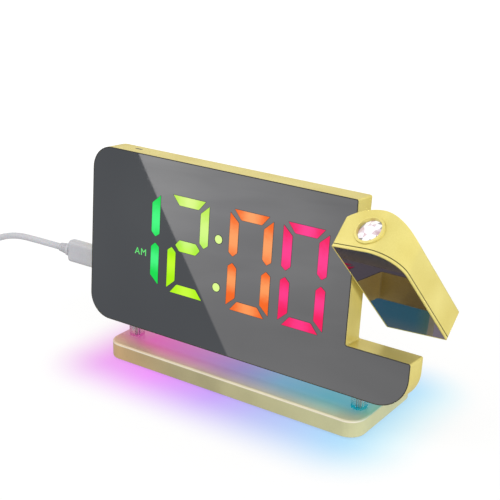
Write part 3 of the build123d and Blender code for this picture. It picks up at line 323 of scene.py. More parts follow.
# the base's lacquer carries a painted glow of the night light, as emission: it is strongest under the body and
# fades to the front and the back; where it falls the colour is painted darker as painted shade under the body,
# the top is painted paler than the sides, and the gold carries a painted tint of the night light's colours, rosy
# to the left and greenish to the right
goldWithPaintedGlow = goldFinish("goldLacquerWithPaintedGlow", {
    "metallic": 0.2, "roughness": 0.42, "coat": 0.5, "specular": 0.5, "flake": 0.4 * mm, "cloud": 18 * mm,
    "bump": 0.1, "deep": "#e4e4e4", "pale": "#f8f8f8"})
basePaintedLight = {
    "goldWithPaintedTints": [(0.0, "#f4c890"), (0.3, "#ccc094"), (0.6, "#d0cc9c"), (1.0, "#e0e2b2")],
    "hues": [(0.0, "#e080a8"), (0.12, "#f828c8"), (0.33, "#d068d4"), (0.5, "#9884e0"), (0.66, "#58b0e0"),
             (0.84, "#00b2d0"), (0.95, "#00b4cc"), (1.0, "#68c4a8")],
    "left": -72 * mm, "right": 74 * mm,  # ends of both ramps
    "front": -30.5 * mm, "under": -13 * mm, "behind": 8 * mm, "back": 27 * mm, "backShare": 0.15,
    "side": 7.9 * mm, "level": 8.9 * mm, "sideShare": 0.1,  # from the base's sides up to its top
    "strength": 0.58, "top": "#fff0d4", "paintedPaleTopShare": 0.5, "paintedShadeTone": "#4c4846",
    "edge": (8.25 * mm, 8.55 * mm, 8.8 * mm, 8.97 * mm), "paintedHighlight": "#fff6e4",
}
tree = goldWithPaintedGlow.node_tree
shader = tree.nodes["Principled BSDF"]
flakes = shader.inputs["Base Color"].links[0].from_socket
place = addNode(tree, "ShaderNodeTexCoord").outputs["Object"]
axes = addNode(tree, "ShaderNodeSeparateXYZ", links={0: place})
along = addNode(tree, "ShaderNodeMapRange", {"From Min": basePaintedLight["left"], "From Max": basePaintedLight["right"]},
                {"Value": axes.outputs["X"]})
hue = addNode(tree, "ShaderNodeValToRGB", {"ramp": basePaintedLight["hues"]}, {"Fac": along.outputs["Result"]})
# painted light: the gold's colour takes a painted tint of the night light, rosy to the left and greenish to the
# right
goldWithPaintedTints = addNode(tree, "ShaderNodeValToRGB", {"ramp": basePaintedLight["goldWithPaintedTints"]}, {"Fac": along.outputs["Result"]})
across = addNode(tree, "ShaderNodeMapRange", {"interpolation_type": "SMOOTHSTEP",
                                              "From Min": basePaintedLight["front"], "From Max": basePaintedLight["under"]},
                 {"Value": axes.outputs["Y"]})
onTop = addNode(tree, "ShaderNodeMapRange", {"From Min": basePaintedLight["side"], "From Max": basePaintedLight["level"],
                                             "To Min": basePaintedLight["sideShare"]}, {"Value": axes.outputs["Z"]})
behind = addNode(tree, "ShaderNodeMapRange", {"interpolation_type": "SMOOTHSTEP",
                                              "From Min": basePaintedLight["behind"], "From Max": basePaintedLight["back"],
                                              "To Min": 1.0, "To Max": basePaintedLight["backShare"]},
                 {"Value": axes.outputs["Y"]})
bothWays = addNode(tree, "ShaderNodeMath", {"operation": "MULTIPLY"},
                   {0: across.outputs["Result"], 1: behind.outputs["Result"]})
amount = addNode(tree, "ShaderNodeMath", {"operation": "MULTIPLY"},
                 {0: bothWays.outputs["Value"], 1: onTop.outputs["Result"]})
# painted light: the top face is painted paler than the sides, towards a cream tone
upper = addNode(tree, "ShaderNodeMath", {"operation": "MULTIPLY", 1: basePaintedLight["paintedPaleTopShare"]},
                {0: onTop.outputs["Result"]})
paintedPaleTop = addNode(tree, "ShaderNodeMix", {"data_type": "RGBA", 7: hexColor(basePaintedLight["top"])},
                   {0: upper.outputs["Value"], 6: goldWithPaintedTints.outputs["Color"]})
tinted = addNode(tree, "ShaderNodeMix", {"data_type": "RGBA", "blend_type": "MULTIPLY", 0: 1.0},
                 {6: paintedPaleTop.outputs[2], 7: flakes})
# painted highlight: the top edge is painted paler, where it catches the light
edgeFrom, edgeFull, edgeFade, edgeTo = basePaintedLight["edge"]
fromSide = addNode(tree, "ShaderNodeMapRange", {"From Min": edgeFrom, "From Max": edgeFull},
                   {"Value": axes.outputs["Z"]})
toTop = addNode(tree, "ShaderNodeMapRange", {"From Min": edgeFade, "From Max": edgeTo, "To Min": 1.0,
                                             "To Max": 0.0}, {"Value": axes.outputs["Z"]})
onEdge = addNode(tree, "ShaderNodeMath", {"operation": "MULTIPLY"},
                 {0: fromSide.outputs["Result"], 1: toTop.outputs["Result"]})
edged = addNode(tree, "ShaderNodeMix", {"data_type": "RGBA", 7: hexColor(basePaintedLight["paintedHighlight"])},
                {0: onEdge.outputs["Value"], 6: tinted.outputs[2]})
# painted shade: where the glow falls, under the body, the colour is darkened towards a dark grey
paintedShadeUnderBody = addNode(tree, "ShaderNodeMix", {"data_type": "RGBA", 7: hexColor(basePaintedLight["paintedShadeTone"])},
                 {0: amount.outputs["Value"], 6: edged.outputs[2]})
# painted glow: emission in the night light's colours, as strong as the painted glow falls
paintedGlowStrength = addNode(tree, "ShaderNodeMath", {"operation": "MULTIPLY", 1: basePaintedLight["strength"]},
                  {0: amount.outputs["Value"]})
tree.links.new(paintedShadeUnderBody.outputs[2], shader.inputs["Base Color"])
tree.links.new(hue.outputs["Color"], shader.inputs["Emission Color"])
tree.links.new(paintedGlowStrength.outputs["Value"], shader.inputs["Emission Strength"])


def dustyMirror(name, look):
    # half-silvered smoked sheet, dulled only by a thin haze of dust; its tones follow its own waves, or the dust
    material, tree, shader, place = newMaterial(name, {"Metallic": 1.0})
    dust = addNode(tree, "ShaderNodeTexNoise", {"Scale": 1 / look["dust"], "Detail": 5.0}, {"Vector": place})
    haze = addNode(tree, "ShaderNodeMapRange", {"From Min": 0.45, "From Max": 0.8, "To Min": look["haze"][0],
                                                "To Max": look["haze"][1]}, {"Value": dust.outputs["Fac"]})
    tree.links.new(haze.outputs["Result"], shader.inputs["Roughness"])
    if "grain" in look:
        addGrain(tree, shader, place, look)
    else:
        tint = addNode(tree, "ShaderNodeValToRGB", {"ramp": look["tones"]}, {"Fac": dust.outputs["Fac"]})
        tree.links.new(tint.outputs["Color"], shader.inputs["Base Color"])
    return material


# the body's mirror: smoked acrylic, faintly wavy as cast sheet is
smokedMirror = dustyMirror("smokedMirror", {
    "dust": 1.5 * mm, "haze": (0.012, 0.05), "grain": 60 * mm, "detail": 1.0,
    "tones": [(0.3, "#828284"), (0.7, "#8a8a8b")], "bump": 0.03, "relief": 2 * mm})
# the block's smaller sheet is silvered more darkly
darkMirror = dustyMirror("darkSmokedMirror", {
    "dust": 1.2 * mm, "haze": (0.02, 0.07), "tones": [(0.3, "#7a6c7c"), (0.7, "#827484")]})

# clear moulded acrylic: bright edges and a faint draw in the surface
clearLook = {"grain": 1.2 * mm, "detail": 2.0, "tones": [(0.3, "#eef2f4"), (0.7, "#ffffff")], "bump": 0.1,
             "relief": 0.1 * mm}
clearAcrylic = grainyMaterial("clearAcrylic", {"Transmission Weight": 1.0, "IOR": 1.49, "Roughness": 0.06},
                              clearLook)


def plasticFinish(name, look):
    # moulded plastic: one body colour that drifts a little, with the mould's fine grain
    settings = {"Roughness": look["roughness"], "Specular IOR Level": look.get("specular", 0.5),
                "Metallic": look.get("metallic", 0.0)}
    return grainyMaterial(name, settings, {"grain": look["grain"], "detail": 4.0, "bump": look["bump"],
                                           "tones": [(0.3, look["deep"]), (0.7, look["pale"])],
                                           "relief": 0.08 * mm})


# matt black ABS of the parts inside
blackAbs = plasticFinish("blackAbs", {"roughness": 0.5, "grain": 0.6 * mm, "bump": 0.4,
                                      "deep": "#17171a", "pale": "#232326"})
# rubber: dull and softly grained
padRubber = plasticFinish("padRubber", {"roughness": 0.8, "grain": 0.9 * mm, "bump": 0.6, "specular": 0.3,
                                        "deep": "#1b1b1c", "pale": "#29292a"})
# acetal: creamy and a little waxy
acetal = plasticFinish("naturalAcetal", {"roughness": 0.35, "grain": 1.2 * mm, "bump": 0.15,
                                         "deep": "#dedccf", "pale": "#ecebe0"})
# plated steel: cool grey with a fine grain
platedSteel = plasticFinish("platedSteel", {"roughness": 0.3, "grain": 0.3 * mm, "bump": 0.25,
                                            "metallic": 1.0, "deep": "#a4a7aa", "pale": "#d2d4d6"})

# solder-masked board: green with paler copper runs under the mask
boardLook = {"runs": 6 * mm, "runWidth": 0.06, "shift": 0.3, "mask": 1 * mm, "shine": (0.28, 0.45),
             "greens": ("#0f4a26", "#14552c"), "copper": "#2c7a3f", "bump": 0.2, "relief": 0.1 * mm}
boardGreen, tree, shader, place = newMaterial("circuitBoard", {"Roughness": 0.35, "Coat Weight": 0.3})
runs = addNode(tree, "ShaderNodeTexBrick", {
    "Scale": 1 / boardLook["runs"], "Mortar Size": boardLook["runWidth"], "offset": boardLook["shift"],
    "Color1": hexColor(boardLook["greens"][0]), "Color2": hexColor(boardLook["greens"][1]),
    "Mortar": hexColor(boardLook["copper"])}, {"Vector": place})
mask = addNode(tree, "ShaderNodeTexNoise", {"Scale": 1 / boardLook["mask"], "Detail": 2.0}, {"Vector": place})
bump = addNode(tree, "ShaderNodeBump", {"Strength": boardLook["bump"], "Distance": boardLook["relief"]},
               {"Height": runs.outputs["Fac"]})
shine = addNode(tree, "ShaderNodeMapRange", {"To Min": boardLook["shine"][0], "To Max": boardLook["shine"][1]},
                {"Value": mask.outputs["Fac"]})
tree.links.new(runs.outputs["Color"], shader.inputs["Base Color"])
tree.links.new(shine.outputs["Result"], shader.inputs["Roughness"])
tree.links.new(bump.outputs["Normal"], shader.inputs["Normal"])

# black film of the projected numerals
slideFilm = plasticFinish("slideFilm", {"roughness": 0.2, "grain": 0.8 * mm, "bump": 0.1,
                                        "deep": "#08080a", "pale": "#1c1c20"})

finishNode(goldWithPaintedGlow, "base_shell")
finishNode(rimGold, "body_housing")
finishNode(bezelGold, "projector_bezel")
finishNode(goldLacquer, "projector_housing", "lens_ring")
finishNode(goldTextured, "rear_cover", "cell_door", "set_button", "down_button", "up_button",
           "projector_button", "light_button")
finishNode(smokedMirror, "mirror_panel")
finishNode(darkMirror, "projector_mirror")
finishNode(clearAcrylic, "left_post", "right_post")
finishNode(blackAbs, "base_cover", "segment_mask", "cell_holder", "buzzer", "lens_barrel", "light_sensor")
finishNode(platedSteel, "base_screws", "post_screws", "cover_screws", "projector_screws", "swing_screw",
           "usb_socket", "backup_cell", "hinge_shaft", "hinge_clip", "friction_washer")
finishNode(boardGreen, "display_board", "light_strip_board", "main_board", "button_board",
           "projector_lamp_board")
finishNode(acetal, "hinge_bush")
finishNode(slideFilm, "digit_slide")
finishNode(padRubber, "anti_slip_pad")
finishNode(leadJacket, "projector_lead")
print("finishes given")


# lit guides: the heights that the colours run between, the diffuser's grain, and how far the bright middle goes
guideLook = {"low": 41 * mm, "high": 90.5 * mm, "diffuser": 2.2 * mm, "mottle": 0.3, "core": 0.2, "rim": 1.05}


def glowFinish(name, ends, middles):
    # a lit guide seen through the mirror: each bar is brightest over its lamp, at the middle of its UV map,
    # and its colour drifts up the numeral, a little mottled by the diffuser
    material, tree, shader, place = newMaterial(
        name, {"Base Color": hexColor("#000000"), "Roughness": 0.6, "Specular IOR Level": 0.0,
               "Emission Strength": 1.0})
    axes = addNode(tree, "ShaderNodeSeparateXYZ", links={0: place})
    grain = addNode(tree, "ShaderNodeTexNoise", {"Scale": 1 / guideLook["diffuser"], "Detail": 1.0},
                    {"Vector": place})
    height = addNode(tree, "ShaderNodeMapRange", {"From Min": guideLook["low"], "From Max": guideLook["high"]},
                     {"Value": axes.outputs["Z"]})
    low = addNode(tree, "ShaderNodeValToRGB", {"ramp": ends}, {"Fac": height.outputs["Result"]})
    high = addNode(tree, "ShaderNodeValToRGB", {"ramp": middles}, {"Fac": height.outputs["Result"]})
    chart = addNode(tree, "ShaderNodeTexCoord").outputs["UV"]
    chartAxes = addNode(tree, "ShaderNodeSeparateXYZ", links={0: chart})
    along = addNode(tree, "ShaderNodeMath", {"operation": "ABSOLUTE"}, {0: chartAxes.outputs["X"]})
    mottled = addNode(tree, "ShaderNodeMath", {"operation": "MULTIPLY_ADD", 1: guideLook["mottle"]},
                      {0: grain.outputs["Fac"], 2: along.outputs["Value"]})
    middle = addNode(tree, "ShaderNodeMapRange", {"interpolation_type": "SMOOTHSTEP",
                                                  "From Min": guideLook["core"], "From Max": guideLook["rim"],
                                                  "To Min": 1.0, "To Max": 0.0},
                     {"Value": mottled.outputs["Value"]})
    color = addNode(tree, "ShaderNodeMix", {"data_type": "RGBA"},
                    {0: middle.outputs["Result"], 6: low.outputs["Color"], 7: high.outputs["Color"]})
    tree.links.new(color.outputs[2], shader.inputs["Emission Color"])
    return material


# what a numeral is made of, in millimetres; the bars repeat the light guides behind the mirror
numeral = {
    "width": 24.5, "height": 50.0, "middle": 49.3, "barWidth": 5.3, "barHeight": 5.0, "end": 2.2, "slant": 4.2,
    "shoulder": 1.8, "tip": 1.4, "footOuter": 3.3, "footInner": 3.8, "middleInset": 4.6, "middleShoulder": 7.2,
    "middleHeight": 6.0, "rounding": 0.5, "edge": 0.16, "proud": 0.08, "sunk": 0.05,
}


def barOutlines(look):
    # corners of the seven bars, measured from the numeral's middle
    right, up = look["width"] / 2, look["height"] / 2
    inner, slant = right - look["barWidth"], right - look["end"] - look["slant"]
    top = [(look["end"] - right, up), (right - look["end"], up), (slant, up - look["barHeight"]),
           (-slant, up - look["barHeight"])]
    side = [(right, up - look["shoulder"]), (right, look["footOuter"]),
            (right - look["barWidth"] / 2, look["tip"]), (inner, look["footInner"]),
            (inner, up - look["end"] - look["slant"])]
    tip, shoulder, half = right - look["middleInset"], right - look["middleShoulder"], look["middleHeight"] / 2
    middle = [(-tip, 0), (-shoulder, half), (shoulder, half), (tip, 0), (shoulder, -half), (-shoulder, -half)]
    return {
        "top": top, "bottom": [(x, -y) for x, y in top], "middle": middle,
        "upperRight": side, "upperLeft": [(-x, y) for x, y in side],
        "lowerRight": [(x, -y) for x, y in side], "lowerLeft": [(-x, -y) for x, y in side],
    }


def litNumeral(name, left, bars, materials):
    # a thin lit plate for each bar, with a dark edge where the mask begins
    bm = bmesh.new()
    outlines = barOutlines(numeral)
    centre = (left + numeral["width"] / 2, numeral["middle"])
    for bar in bars:
        corners = [bm.verts.new(((centre[0] + x) * mm, (centre[1] + y) * mm, 0)) for x, y in outlines[bar]]
        bm.faces.new(corners)
    bmesh.ops.bevel(bm, geom=bm.verts[:], offset=numeral["rounding"] * mm, segments=3, profile=0.5,
                    affect="VERTICES", material=-1)
    bmesh.ops.recalc_face_normals(bm, faces=bm.faces)
    flatParts = bm.faces[:]
    for face in flatParts:
        if face.normal.z < 0:
            face.normal_flip()
    ring = bmesh.ops.inset_individual(bm, faces=flatParts, thickness=numeral["edge"] * mm)["faces"]
    for face in ring:
        face.material_index = 1
    bmesh.ops.solidify(bm, geom=bm.faces[:], thickness=(numeral["sunk"] + numeral["proud"]) * mm)
    bmesh.ops.translate(bm, verts=bm.verts, vec=(0, 0, numeral["proud"] * mm))
    # UV map: u runs from -1 to 1 along each bar
    chart = bm.loops.layers.uv.new("alongBar")
    middles = {bar: Vector([sum(axis) / len(axis) for axis in zip(*outlines[bar])]) for bar in bars}
    for face in bm.faces:
        at = Vector([v / mm - c for v, c in zip(face.calc_center_median(), centre)])
        bar = min(bars, key=lambda b: (middles[b] - at).length)
        axis = 0 if bar in ("top", "middle", "bottom") else 1
        reach = max(corner[axis] for corner in outlines[bar]) - middles[bar][axis]
        zero = centre[axis] + middles[bar][axis]
        for loop in face.loops:
            loop[chart].uv = ((loop.vert.co[axis] / mm - zero) / reach, 0)
    return newPiece(name, bm, materials, bodyPlace)


# the mask's edge round a lit bar: nearly black, with the smoked sheet's sheen over it
maskBlack = plasticFinish("maskBlack", {"roughness": 0.25, "grain": 0.8 * mm, "bump": 0.1,
                                        "deep": "#2a2e2c", "pale": "#343a37"})

# the four numerals: their left edges, the bars that are lit, and the colours of the bars' ends and middles
zeroBars = ["top", "upperRight", "lowerRight", "bottom", "lowerLeft", "upperLeft"]
numerals = {
    "hourTens": {"node": "hour_tens_digit", "left": 19.8, "bars": ["upperRight", "lowerRight"],
                 "ends": [(0.0, "#22dc55"), (1.0, "#28e05a")],
                 "middles": [(0.0, "#48f884"), (1.0, "#4efc88")]},
    "hourUnits": {"node": "hour_units_digit", "left": 49.5,
                  "bars": ["top", "upperRight", "middle", "lowerLeft", "bottom"],
                  "ends": [(0.0, "#b4f61e"), (0.4, "#a8f418"), (0.55, "#b4f050"), (1.0, "#c4f25c")],
                  "middles": [(0.0, "#ccff44"), (0.4, "#c4ff2c"), (0.55, "#d0fc84"), (1.0, "#e2fd92")]},
    "minuteTens": {"node": "minute_tens_digit", "left": 85.9, "bars": zeroBars,
                   "ends": [(0.0, "#f86c2c"), (1.0, "#fc7030")],
                   "middles": [(0.0, "#ff9c5c"), (1.0, "#ffa86c")]},
    "minuteUnits": {"node": "minute_units_digit", "left": 115.6, "bars": zeroBars,
                    "ends": [(0.0, "#f82864"), (1.0, "#f82e68")],
                    "middles": [(0.0, "#ff3c88"), (1.0, "#ff4896")]},
}
for name, look in numerals.items():
    guideGlow = glowFinish(name + "Glow", look["ends"], look["middles"])
    litNumeral(name + "Lit", look["left"], look["bars"], [guideGlow, maskBlack])
    finishNode(guideGlow, look["node"])

# the colon's two lit dots
colon = {"across": 79.95, "heights": (33.5, 57.5), "radius": 2.4, "edge": 0.3, "proud": 0.08, "sunk": 0.05}
colonGlow = glowFinish("colonGlow", [(0.0, "#ccfa70"), (1.0, "#d2fc78")],
                       [(0.0, "#e0ff92"), (1.0, "#e4ff9a")])
bm = bmesh.new()
for height in colon["heights"]:
    dot = bmesh.ops.create_circle(bm, cap_ends=True, segments=32, radius=colon["radius"] * mm)
    bmesh.ops.translate(bm, verts=dot["verts"], vec=(colon["across"] * mm, height * mm, 0))
ring = bmesh.ops.inset_individual(bm, faces=bm.faces[:], thickness=colon["edge"] * mm)["faces"]
for face in ring:
    face.material_index = 1
bmesh.ops.solidify(bm, geom=bm.faces[:], thickness=(colon["sunk"] + colon["proud"]) * mm)
bmesh.ops.translate(bm, verts=bm.verts, vec=(0, 0, colon["proud"] * mm))
newPiece("colonLit", bm, [colonGlow, maskBlack], bodyPlace)
finishNode(colonGlow, "colon_dots")

# morning mark, beside the first numeral; a capital is 0.7 of the letters' size
mark = {"text": "AM", "place": (28.8, 39.4), "height": 3.5, "proud": 0.08, "spacing": 1.14, "capital": 0.7}
markGlow = glowFinish("markGlow", [(0.0, "#5ce06c"), (1.0, "#64e874")],
                      [(0.0, "#84f890"), (1.0, "#8cfc98")])
letters = bpy.data.curves.new("morningMark", "FONT")
letters.body = mark["text"]
letters.size = mark["height"] * mm / mark["capital"]
letters.space_character = mark["spacing"]
letters.extrude = mark["proud"] * mm
letters.resolution_u = 3
letterPiece = bpy.data.objects.new("morningMark", letters)
bpy.context.scene.collection.objects.link(letterPiece)
bpy.context.view_layer.update()
solved = letterPiece.evaluated_get(bpy.context.evaluated_depsgraph_get())
bm = bmesh.new()
bm.from_mesh(bpy.data.meshes.new_from_object(solved))
bmesh.ops.remove_doubles(bm, verts=bm.verts, dist=0.001 * mm)
bmesh.ops.translate(bm, verts=bm.verts, vec=(mark["place"][0] * mm, mark["place"][1] * mm, 0))
bpy.data.objects.remove(letterPiece)
newPiece("morningMarkLit", bm, [markGlow], bodyPlace)
finishNode(markGlow, "ampm_marks")
print("numerals lit")

# frosted strip: its colour runs from magenta to cyan along the clock, mottled by the lamps behind it
nightLight = {"stops": [(0.0, "#ff20c0"), (0.25, "#f018e8"), (0.5, "#8a50ff"), (0.72, "#2a90ff"),
                        (1.0, "#10e0e0")],
              "left": -56 * mm, "right": 56 * mm, "lamp": 9.9 * mm, "waveLength": 0.314, "drift": 4 * mm,
              "strength": 1.0}
frostedLight, tree, shader, place = newMaterial("frostedLightBar", {
    "Base Color": hexColor("#101012"), "Roughness": 0.5, "Emission Strength": nightLight["strength"]})
axes = addNode(tree, "ShaderNodeSeparateXYZ", links={0: place})
# the wave texture repeats every 0.314 m at a scale of 1, so this one has a band for each lamp
lamps = addNode(tree, "ShaderNodeTexWave", {"Scale": nightLight["waveLength"] / nightLight["lamp"]},
                {"Vector": place})
drift = addNode(tree, "ShaderNodeMath", {"operation": "MULTIPLY_ADD", 1: nightLight["drift"]},
                {0: lamps.outputs["Fac"], 2: axes.outputs["X"]})
along = addNode(tree, "ShaderNodeMapRange", {"From Min": nightLight["left"], "From Max": nightLight["right"]},
                {"Value": drift.outputs[0]})
color = addNode(tree, "ShaderNodeValToRGB", {"ramp": nightLight["stops"]}, {"Fac": along.outputs["Result"]})
tree.links.new(color.outputs["Color"], shader.inputs["Emission Color"])
finishNode(frostedLight, "light_bar")

# projection lens: a moulded dome cut like a crystal, with a flat table, kites, and small facets at the girdle;
# its seat is in the block's own frame, and all of it is in millimetres
lensLook = {"seat": (14.0, 30.1, -10.4), "girdle": 5.75, "skirt": 1.7, "middle": 4.2, "middleUp": 2.5,
            "table": 2.4, "top": 3.08, "sides": 8}
facetLook = {"roughness": 0.04, "ior": 1.5, "coat": 0.6, "cloud": 2.5 * mm}


def facetFinish(name, look):
    # glass lit from within: nearly white, with a soft cloud of its tint
    material, tree, shader, place = newMaterial(
        name, {"Roughness": facetLook["roughness"], "IOR": facetLook["ior"], "Coat Weight": facetLook["coat"],
               "Base Color": hexColor(look["body"]), "Emission Strength": look["strength"]})
    cloud = addNode(tree, "ShaderNodeTexNoise", {"Scale": 1 / facetLook["cloud"], "Detail": 2.0},
                    {"Vector": place})
    tint = addNode(tree, "ShaderNodeValToRGB", {"ramp": [(0.35, look["deep"]), (0.65, look["pale"])]},
                   {"Fac": cloud.outputs["Fac"]})
    tree.links.new(tint.outputs["Color"], shader.inputs["Emission Color"])
    return material


lensFinishes = [
    facetFinish("litTableGlass", {"body": "#404044", "deep": "#f6eef6", "pale": "#ffffff", "strength": 1.0}),
    facetFinish("rosyFacetGlass", {"body": "#3c3436", "deep": "#d9b4bc", "pale": "#f4e2ec", "strength": 0.85}),
    facetFinish("greyFacetGlass", {"body": "#2c2c30", "deep": "#8f8a92", "pale": "#cfcad2", "strength": 0.7}),
]


def ringPoints(bm, radius, height, count, phase):
    # corners evenly round a circle, turned by a share of one step
    return [bm.verts.new((radius * mm * math.cos(2 * math.pi * (i + phase) / count),
                          radius * mm * math.sin(2 * math.pi * (i + phase) / count), height * mm))
            for i in range(count)]


bm = bmesh.new()
sides = lensLook["sides"]
foot = ringPoints(bm, lensLook["girdle"], 0, 2 * sides, 0)
girdle = ringPoints(bm, lensLook["girdle"], lensLook["skirt"], 2 * sides, 0)
middle = ringPoints(bm, lensLook["middle"], lensLook["middleUp"], sides, 0.5)
table = ringPoints(bm, lensLook["table"], lensLook["top"], sides, 0)
# each facet with its glass: 0 is white, 1 rosy and 2 grey
facets = [(list(reversed(foot)), 2), (table, 0)]
for i in range(2 * sides):
    facets.append(([foot[i], foot[(i + 1) % (2 * sides)], girdle[(i + 1) % (2 * sides)], girdle[i]], 2))
for i in range(sides):
    facets.append(([table[i], middle[i], table[(i + 1) % sides]], 1 if i % 3 else 0))
    facets.append(([table[i], middle[i - 1], girdle[2 * i], middle[i]], 0 if i % 4 else 1))
    facets.append(([middle[i], girdle[2 * i], girdle[2 * i + 1]], 2 if i % 2 else 1))
    facets.append(([middle[i], girdle[2 * i + 1], girdle[(2 * i + 2) % (2 * sides)]], 2 if i % 3 == 0 else 0))
for corners, slot in facets:
    bm.faces.new(corners).material_index = slot
lensSeat = Matrix.Translation([v * mm for v in lensLook["seat"]])
lensPlace = blockPlace @ lensSeat @ Matrix.Rotation(-math.pi / 2, 4, "X")
lens = newPiece("facetedLens", bm, lensFinishes, lensPlace, body="projector")
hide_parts("projector_lens")
print("lens cut")

# white desk with a painted pool of the night light's colour round the base, which fades out over its reach
floorLook = {
    "size": 6.0, "base": (66 * mm, 28.5 * mm, 1.0), "reach": 42 * mm, "left": -100 * mm, "right": 90 * mm,
    "hues": [(0.0, "#eeb4ea"), (0.3, "#f09cff"), (0.5, "#cda8ff"), (0.65, "#bcc2fb"), (0.85, "#b2dcff"),
             (1.0, "#c0f0ff")],
    "matt": 0.25, "bounce": "#e8e8e8",
    # lit and litFar set the desk's painted brightness: dimmer near the clock, full white far off
    "lit": 0.8, "litFar": 1.0, "nearTo": 0.14, "farFrom": 0.6,  # its own brightness, near the clock and far off
}
# painted reflection: what the mirrors see of it is painted, a darker screen to the left of a slanting edge and a
# paler one to its right, with soft folds, that opens to white at its far right
paintedReflection = {
    "across": (0.719, -0.695, 0.0), "edge": 20.06 * mm, "blur": 0.6 * mm, "dark": "#9a9ea2",
    "near": -80 * mm, "far": -430 * mm, "nearTone": 0.66, "farTone": 1.1,
    "fade": 170 * mm, "fadeTone": 0.64, "openFrom": 110 * mm, "openTo": 220 * mm,
    "fold": 90 * mm, "foldTones": (0.93, 1.05),
}
floorMaterial = bpy.data.materials.new("whiteDesk")
floorMaterial.use_nodes = True
tree = floorMaterial.node_tree
tree.nodes.clear()
place = addNode(tree, "ShaderNodeTexCoord").outputs["Object"]
axes = addNode(tree, "ShaderNodeSeparateXYZ", links={0: place})
mirrored = addNode(tree, "ShaderNodeVectorMath", {"operation": "ABSOLUTE"}, {0: place})
beyond = addNode(tree, "ShaderNodeVectorMath", {"operation": "SUBTRACT", 1: floorLook["base"]},
                 {0: mirrored.outputs["Vector"]})
outside = addNode(tree, "ShaderNodeVectorMath", {"operation": "MAXIMUM"}, {0: beyond.outputs["Vector"]})
distance = addNode(tree, "ShaderNodeVectorMath", {"operation": "LENGTH"}, {0: outside.outputs["Vector"]})
# painted light: the pool of the night light's colour, fading with distance from the base
paintedPool = addNode(tree, "ShaderNodeMapRange", {"interpolation_type": "SMOOTHSTEP", "From Max": floorLook["reach"],
                                            "To Min": 1.0, "To Max": 0.0},
               {"Value": distance.outputs["Value"]})
along = addNode(tree, "ShaderNodeMapRange", {"From Min": floorLook["left"], "From Max": floorLook["right"]},
                {"Value": axes.outputs["X"]})
hue = addNode(tree, "ShaderNodeValToRGB", {"ramp": floorLook["hues"]}, {"Fac": along.outputs["Result"]})
tinted = addNode(tree, "ShaderNodeMix", {"data_type": "RGBA", 6: (1.0, 1.0, 1.0, 1.0)},
                 {0: paintedPool.outputs["Result"], 7: hue.outputs["Color"]})
deskMatt = addNode(tree, "ShaderNodeVectorMath", {"operation": "SCALE", "Scale": floorLook["matt"]},
                   {0: tinted.outputs[2]})
matt = addNode(tree, "ShaderNodeBsdfDiffuse", links={"Color": deskMatt.outputs["Vector"]})
off = addNode(tree, "ShaderNodeVectorMath", {"operation": "LENGTH"}, {0: place})
# painted brightness: the desk's emission is dimmer near the clock and full white far off
paintedFalloff = addNode(tree, "ShaderNodeMapRange", {"From Min": floorLook["nearTo"], "From Max": floorLook["farFrom"],
                                             "To Min": floorLook["lit"], "To Max": floorLook["litFar"]},
                {"Value": off.outputs["Value"]})
lit = addNode(tree, "ShaderNodeEmission", links={"Color": tinted.outputs[2],
                                                 "Strength": paintedFalloff.outputs["Result"]})
desk = addNode(tree, "ShaderNodeAddShader", links={0: matt.outputs[0], 1: lit.outputs[0]})
# the painted reflection, by how far a point lies past the slanting edge
side = addNode(tree, "ShaderNodeVectorMath", {"operation": "DOT_PRODUCT", 1: paintedReflection["across"]}, {0: place})
past = addNode(tree, "ShaderNodeMath", {"operation": "SUBTRACT", 1: paintedReflection["edge"]},
               {0: side.outputs["Value"]})
paleSide = addNode(tree, "ShaderNodeMapRange", {"From Min": -paintedReflection["blur"], "From Max": paintedReflection["blur"]},
                   {"Value": past.outputs["Value"]})
rise = addNode(tree, "ShaderNodeMapRange", {"From Min": paintedReflection["near"], "From Max": paintedReflection["far"],
                                            "To Min": paintedReflection["nearTone"], "To Max": paintedReflection["farTone"]},
               {"Value": axes.outputs["Y"]})
fade = addNode(tree, "ShaderNodeMapRange", {"From Max": paintedReflection["fade"], "To Min": 1.0,
                                            "To Max": paintedReflection["fadeTone"]}, {"Value": past.outputs["Value"]})
paleTone = addNode(tree, "ShaderNodeMath", {"operation": "MULTIPLY"},
                   {0: rise.outputs["Result"], 1: fade.outputs["Result"]})
openSide = addNode(tree, "ShaderNodeMapRange", {"From Min": paintedReflection["openFrom"], "From Max": paintedReflection["openTo"]},
                   {"Value": axes.outputs["X"]})
folds = addNode(tree, "ShaderNodeTexNoise", {"Scale": 1 / paintedReflection["fold"], "Detail": 2.0, "Distortion": 0.6},
                {"Vector": place})
foldDark, foldPale = paintedReflection["foldTones"]
foldTone = addNode(tree, "ShaderNodeMapRange", {"From Min": 0.3, "From Max": 0.7, "To Min": foldDark,
                                                "To Max": foldPale}, {"Value": folds.outputs["Fac"]})
foldedTone = addNode(tree, "ShaderNodeMath", {"operation": "MULTIPLY"},
                     {0: paleTone.outputs["Value"], 1: foldTone.outputs["Result"]})
paleReflection = addNode(tree, "ShaderNodeMath", {"operation": "MAXIMUM"},
                     {0: foldedTone.outputs["Value"], 1: openSide.outputs["Result"]})
paintedReflectionColor = addNode(tree, "ShaderNodeMix", {"data_type": "RGBA", 6: hexColor(paintedReflection["dark"])},
                      {0: paleSide.outputs["Result"], 7: paleReflection.outputs["Value"]})
seenInMirror = addNode(tree, "ShaderNodeEmission", links={"Color": paintedReflectionColor.outputs[2]})
